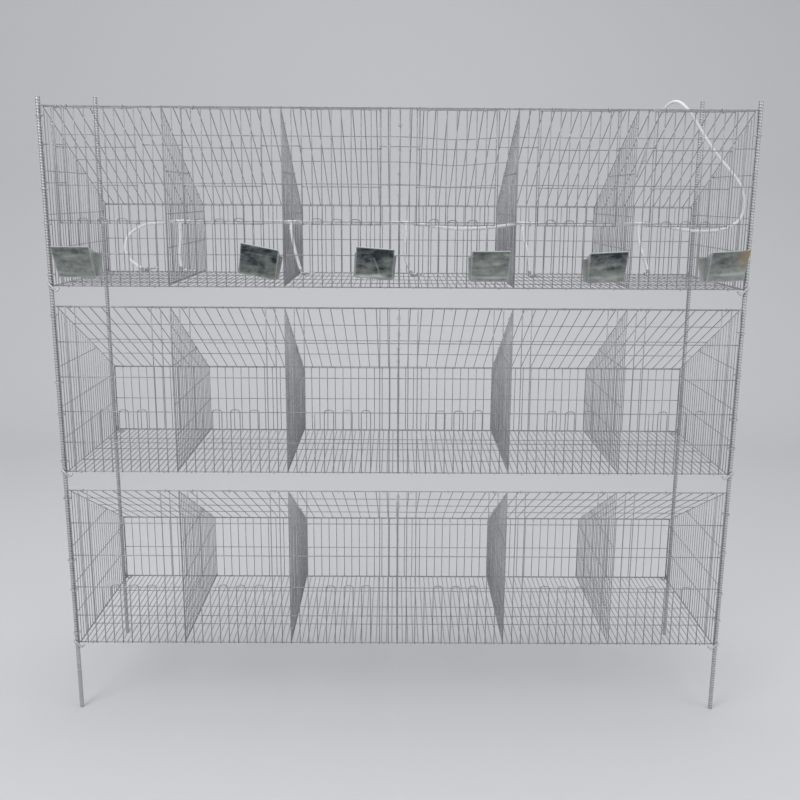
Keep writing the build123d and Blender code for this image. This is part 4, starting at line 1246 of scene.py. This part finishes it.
    def build(self) -> None:
        """Make the six boxes at their places and tilts."""
        for i, box in enumerate(self.boxes):
            batch = self.shape(box, np.random.default_rng(self.seed + i))
            looks = self.looks(box, np.concatenate(batch.points))
            c, s = math.cos(math.radians(box.tilt)), math.sin(math.radians(box.tilt))
            turn = np.array([[c, 0.0, s], [0.0, 1.0, 0.0], [-s, 0.0, c]])
            hook = np.array([0.0, 0.0, self.hook_z])
            place = np.array([box.x, S.front_y, Tier.UPPER.value])
            batch.points = [(p - hook) @ turn.T + hook + place for p in batch.points]
            node = f"feeder_{i + 1}"
            piece = self.finishes.build(batch, f"{node}_box", Slot.SHEET, node, node)
            piece.data.set_sharp_from_angle(angle=math.radians(self.sharp))
            paint(piece, looks)


@dataclass(frozen=True)
class Hose:
    """One hose stretch: its length, and its control points as in_frame takes them.

    Unless it ends otherwise, a drinker sits on its far end, turned by turn degrees.
    """

    name: str
    length: float
    points: tuple[Triple, ...]
    turn: float = 0.0
    far_end: str = "fitting"
    lay: str = "hanging"
    node: str = "water_line"


def in_frame(points: tuple[Triple, ...]) -> Array:
    """Points (x, depth behind the front plane, height above the upper floor) in mm, moved into the CAD frame."""
    return np.array(points) * MM + np.array([0.0, S.front_y, Tier.UPPER.value])


def level(*pairs: tuple[float, float]) -> tuple[Triple, ...]:
    """Points in the water line's own plane."""
    return tuple((x, LINE_Y, z) for x, z in pairs)


@dataclass
class WaterLine:
    """Hoses, tees and nipple drinkers of the upper tier. Turned profiles are rows in mm."""

    finishes: Finishes
    hose_d: float = 8.0 * MM
    tee_spots: tuple[float, ...] = (-567.0, -280.0, 17.0, 320.0, 620.0)
    line_h: float = 166.0
    tee_half: float = 13.0
    tee_leg: float = 20.0
    elbow_l: float = 12.0 * MM
    tee_arm: tuple[tuple[float, float], ...] = (
        (0.0, 4.3), (0.45, 4.3), (0.5, 4.9), (0.62, 5.0), (0.68, 4.5), (0.9, 4.5), (0.93, 4.95), (1.0, 4.8),
        (1.0, 3.2))
    leg: tuple[tuple[float, float], ...] = (
        (0.0, 3.2), (0.05, 4.3), (0.5, 4.6), (2.6, 4.6), (3.2, 4.2), (4.2, 3.7), (9.0, 3.7), (12.0, 3.4))
    knuckle_r: float = 4.4
    nozzle: tuple[tuple[float, float], ...] = (
        (0.0, 3.6), (3.4, 3.7), (3.6, 4.1), (4.2, 4.5), (11.4, 4.5), (12.0, 4.1), (12.4, 3.3), (14.0, 3.2),
        (14.3, 2.5), (27.0, 2.3), (27.4, 2.6), (29.2, 2.6), (29.8, 2.3), (29.9, 1.4))
    hexagon: tuple[float, float] = (4.0, 11.8)
    nozzle_sides: int = 24
    pin_sides: int = 14
    pin: tuple[tuple[float, float], ...] = (
        (13.0, 1.0), (14.0, 1.15), (33.6, 1.15), (34.0, 1.3), (34.6, 1.2), (34.95, 0.5))
    hoses: tuple[Hose, ...] = (
        Hose("main_hose_1", 0.2596, level((-553.3, 166), (-475.42, 164), (-371.58, 164), (-293.7, 166)),
             far_end="object"),
        Hose("main_hose_2", 0.2697, level((-266.3, 166), (-185.42, 163.5), (-77.58, 163.5), (3.3, 166)),
             far_end="object"),
        Hose("main_hose_3", 0.2776, level((30.7, 166), (113.38, 151), (223.62, 151), (306.3, 166)), far_end="object"),
        Hose("main_hose_4", 0.2727, level((333.7, 166), (415.48, 163), (524.52, 163), (606.3, 166)),
             far_end="object"),
        Hose("tail_hose", 0.2303, level((-580.7, 166), (-618, 161.5), (-654, 159.5), (-690, 143), (-709, 120),
                                        (-714, 93), (-705, 70), (-689, 56), (-675, 47)), 12.0),
        Hose("drop_hose_2", 0.0945, level((-567, 145.3), (-569.5, 112), (-571.5, 79), (-569.5, 51))),
        Hose("drop_hose_3", 0.1018, level((-280, 145.3), (-276, 113), (-268, 77), (-258.5, 46))),
        Hose("drop_hose_4", 0.1049, level((17, 145.3), (14, 116), (13, 88), (20, 63), (28.5, 43)), 2.0),
        Hose("drop_hose_5", 0.1040, level((320, 145.3), (322, 127), (333, 104), (338.5, 75), (341, 44)), -2.0),
        Hose("drop_hose_6", 0.1014, level((620, 145.3), (623.5, 117), (635.5, 90), (645, 64), (650.5, 49)), 183.0),
        Hose("supply_hose_run", 0.9650, (
            (633.7, 14, 166), (676, 14, 164.5), (722, 14, 153.5), (768, 14, 149), (814, 14, 148.5),
            (857, 14, 158.5), (885, 14, 180), (892, 14.5, 211), (889, 15, 243), (871, 15.5, 277), (841, 16.5, 309),
            (808, 17.5, 345), (779, 18.5, 383), (752, 19.5, 423), (731, 23, 452), (714, 37, 472), (698, 58, 475),
            (685, 82, 459), (675.5, 121, 426), (673.5, 159, 390.54), (675, 197, 360.98), (680, 250, 329.71),
            (685, 322, 292.66)), far_end="bare", lay="loose", node="supply_hose"))

    def curve(self, hose: Hose) -> Piece:
        """A NURBS tube of order 3 through the hose's control points."""
        route = in_frame(hose.points)
        data = bpy.data.curves.new(hose.name, "CURVE")
        data.dimensions = "3D"
        data.bevel_depth = self.hose_d / 2
        data.bevel_resolution = 3
        data.use_fill_caps = True
        data.resolution_u = 6
        spline = data.splines.new("NURBS")
        spline.points.add(len(route) - 1)
        spline.points.foreach_set("co", np.insert(route, 3, 1.0, axis=1).astype(np.float32).ravel())
        spline.order_u = 3
        spline.use_endpoint_u = True
        data.materials.append(self.finishes.made[Slot.HOSE])
        piece = bpy.data.objects.new(hose.name, data)
        bpy.context.scene.collection.objects.link(piece)
        return self.finishes.dress(piece, Slot.HOSE, "cage", hose.node)

    def tees(self) -> None:
        """Moulded tees: a run and a leg turned from one profile of a plain middle, a collar and a barb ring."""
        batch = MeshBatch()
        arm = np.array(self.tee_arm)
        run = np.concatenate([arm[::-1] * (-1, 1), arm[1:]]) * (self.tee_half, 1)
        for centre in in_frame(level(*((x, self.line_h) for x in self.tee_spots))):
            revolve(batch, run * MM, centre, X)
            revolve(batch, arm * (self.tee_leg, 1) * MM, centre, (0.0, 0.0, -1.0))
        self.finishes.build(batch, "tee_fittings", Slot.TEE, "cage", "hose_tees")

    def drinkers(self) -> dict[str, Piece]:
        """Nipple drinkers: a collar and a leg on each drop's end, a round knuckle, then a hexagon and a thin nozzle.

        The knuckle is r(s) = sqrt(R^2 - s^2). Each nozzle points along its hose's turn in the XZ plane and holds a pin.

        Returns:
            Each drinker by the name of the hose that it ends.
        """
        leg, arm, pin = np.array(self.leg), np.array(self.nozzle), np.array(self.pin)
        s = np.linspace(-1.0, 1.0, 9) * (self.knuckle_r - 0.1)
        knuckle = np.stack([s, np.sqrt(self.knuckle_r ** 2 - s ** 2)], -1)
        flats = (arm[:, 0] > self.hexagon[0]) & (arm[:, 0] < self.hexagon[1])
        made = {}
        for i, hose in enumerate(h for h in self.hoses if h.far_end == "fitting"):
            before, end = in_frame(hose.points[-2:])
            down, turn = unit(end - before), math.radians(hose.turn)
            way = (math.cos(turn), 0.0, math.sin(turn))
            corner = end + down * self.elbow_l
            batch, stem = MeshBatch(), MeshBatch()
            revolve(batch, leg * MM, end, down)
            revolve(batch, knuckle * MM, corner, way)
            revolve(batch, arm * MM, corner, way, self.nozzle_sides, flats)
            made[hose.name] = self.finishes.build(batch, f"nipple_drinker_{i + 1}", Slot.DRINKER, "cage",
                                                  "drinker_bodies")
            revolve(stem, pin * MM, corner, way, self.pin_sides)
            name = f"drinker_pin_{i + 1}"
            self.finishes.build(stem, f"{name}_stem", Slot.PIN, name, name)
        return made

    def build(self) -> None:
        """Make the hoses and what is on them."""
        self.tees()
        ends = self.drinkers()
        for hose in self.hoses:
            piece = self.curve(hose)


@dataclass
class Stage:
    """Pale cove, soft lamps and the camera at the photograph's angle. A lamp is its name, place, size and watts."""

    camera_at: Triple = (-0.0117, -2.6516, 1.445)
    pitch: float = 12.32
    yaw: float = 0.37
    roll: float = 0.36
    lens: float = 41.9085
    cove_y: float = 2.6
    cove_r: float = 1.6
    cove_half: float = 60.0
    floor_front: float = -60.0
    wall_h: float = 7.0
    tone: Triple = (0.58, 0.585, 0.59)
    matte: float = 0.9
    shine: float = 0.1
    far_tone: Triple = (0.41, 0.42, 0.447)
    sky: Triple = (0.93, 0.95, 1.0)
    sky_strength: float = 0.75
    aim: Triple = (0.0, 0.0, 0.9)
    lamps: tuple[tuple[str, Triple, float, float], ...] = (
        ("key", (-2.6, -3.2, 3.6), 2.2, 94.0), ("fill", (3.2, -2.6, 2.0), 2.6, 37.0),
        ("top", (0.4, 0.8, 4.4), 3.0, 56.0))

    def camera(self) -> None:
        """Camera at fitted numbers: forward tilts down by pitch, turned by yaw, then rolled about its own axis."""
        p, y, r = (math.radians(v) for v in (self.pitch, self.yaw, self.roll))
        forward = np.array([math.sin(y) * math.cos(p), math.cos(y) * math.cos(p), -math.sin(p)])
        right = np.array([math.cos(y), -math.sin(y), 0.0])
        up = np.cross(right, forward)
        side, top = math.cos(r) * right + math.sin(r) * up, math.cos(r) * up - math.sin(r) * right
        data = bpy.data.cameras.new("camera")
        data.lens = self.lens
        data.sensor_width = 36.0
        data.clip_start = 0.05
        made = bpy.data.objects.new("camera", data)
        bpy.context.scene.collection.objects.link(made)
        made.matrix_world = Matrix([*np.stack([side, top, -forward, self.camera_at], -1).tolist(), (0, 0, 0, 1)])
        bpy.context.scene.camera = made

    def cove(self) -> None:
        """Floor that bends up into a wall: straight run, quarter circle, straight run, carried along X."""
        bend = np.linspace(0.0, math.pi / 2, 24)
        profile = np.concatenate([
            [[self.floor_front, 0.0]],
            np.stack([self.cove_y + self.cove_r * np.sin(bend), self.cove_r * (1 - np.cos(bend))], -1),
            [[self.cove_y + self.cove_r, self.wall_h]]])
        spots = across_x(np.linspace(-self.cove_half, self.cove_half, 9), 0.0, 0.0)
        n = len(profile)
        i, j = np.meshgrid(np.arange(len(spots) - 1), np.arange(n - 1), indexing="ij")
        quads = np.stack([i * n + j, (i + 1) * n + j, (i + 1) * n + j + 1, i * n + j + 1], -1).reshape(-1, 4)
        finish = bpy.data.materials.new("pale_cove")
        finish.use_nodes = True
        Graph(finish.node_tree).feed(finish.node_tree.nodes["Principled BSDF"], {
            "Base Color": (*self.tone, 1), "Roughness": self.matte, "Specular IOR Level": self.shine})
        batch = MeshBatch()
        batch.add(copies(profile, spots, Y, Z), quads)
        batch.build("pale_cove", finish)

    def lights(self) -> None:
        """Large square lamps (key, fill and top) and a pale world, seen itself in the far floor's tone."""
        for name, at, size, watts in self.lamps:
            data = bpy.data.lights.new(name, "AREA")
            data.energy = watts
            data.size = size
            made = bpy.data.objects.new(name, data)
            made.location = at
            made.rotation_euler = (Vector(self.aim) - Vector(at)).to_track_quat("-Z", "Y").to_euler()
            bpy.context.scene.collection.objects.link(made)
        world = bpy.data.worlds.new("pale_world")
        world.use_nodes = True
        graph = Graph(world.node_tree)
        shade = graph.tree.nodes["Background"]
        graph.feed(shade, {"Color": (*self.sky, 1), "Strength": self.sky_strength})
        seen = graph.node("Background", {"Color": (*self.far_tone, 1)})
        path = graph.node("LightPath")
        either = graph.math("MAXIMUM", path.outputs["Is Camera Ray"], path.outputs["Is Glossy Ray"])
        any_of = graph.math("MAXIMUM", either, path.outputs["Is Transmission Ray"])
        blend = graph.node("MixShader", {0: any_of, 1: shade.outputs[0], 2: seen.outputs[0]})
        graph.feed(graph.tree.nodes["World Output"], {"Surface": blend.outputs[0]})
        bpy.context.scene.world = world

    def build(self) -> None:
        """Set the camera, the cove, the lamps and the plain view transform."""
        self.camera()
        self.cove()
        self.lights()
        bpy.context.scene.view_settings.view_transform = "Standard"


def main() -> None:
    """Build every sub-assembly around the frame and report its pieces."""
    logging.basicConfig(level=logging.INFO, format="%(message)s")
    for thing in list(bpy.data.objects):
        bpy.data.objects.remove(thing, do_unlink=True)
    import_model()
    Stage().build()
    finishes = Finishes()
    WaterLine(finishes).build()
    for tier in Tier:
        TierPanels(tier, finishes).build()
    for assembly in (Doors, Posts, Rings, Feeders):
        assembly(finishes).build()
    bpy.context.view_layer.update()


if __name__ == "__main__":
    main()
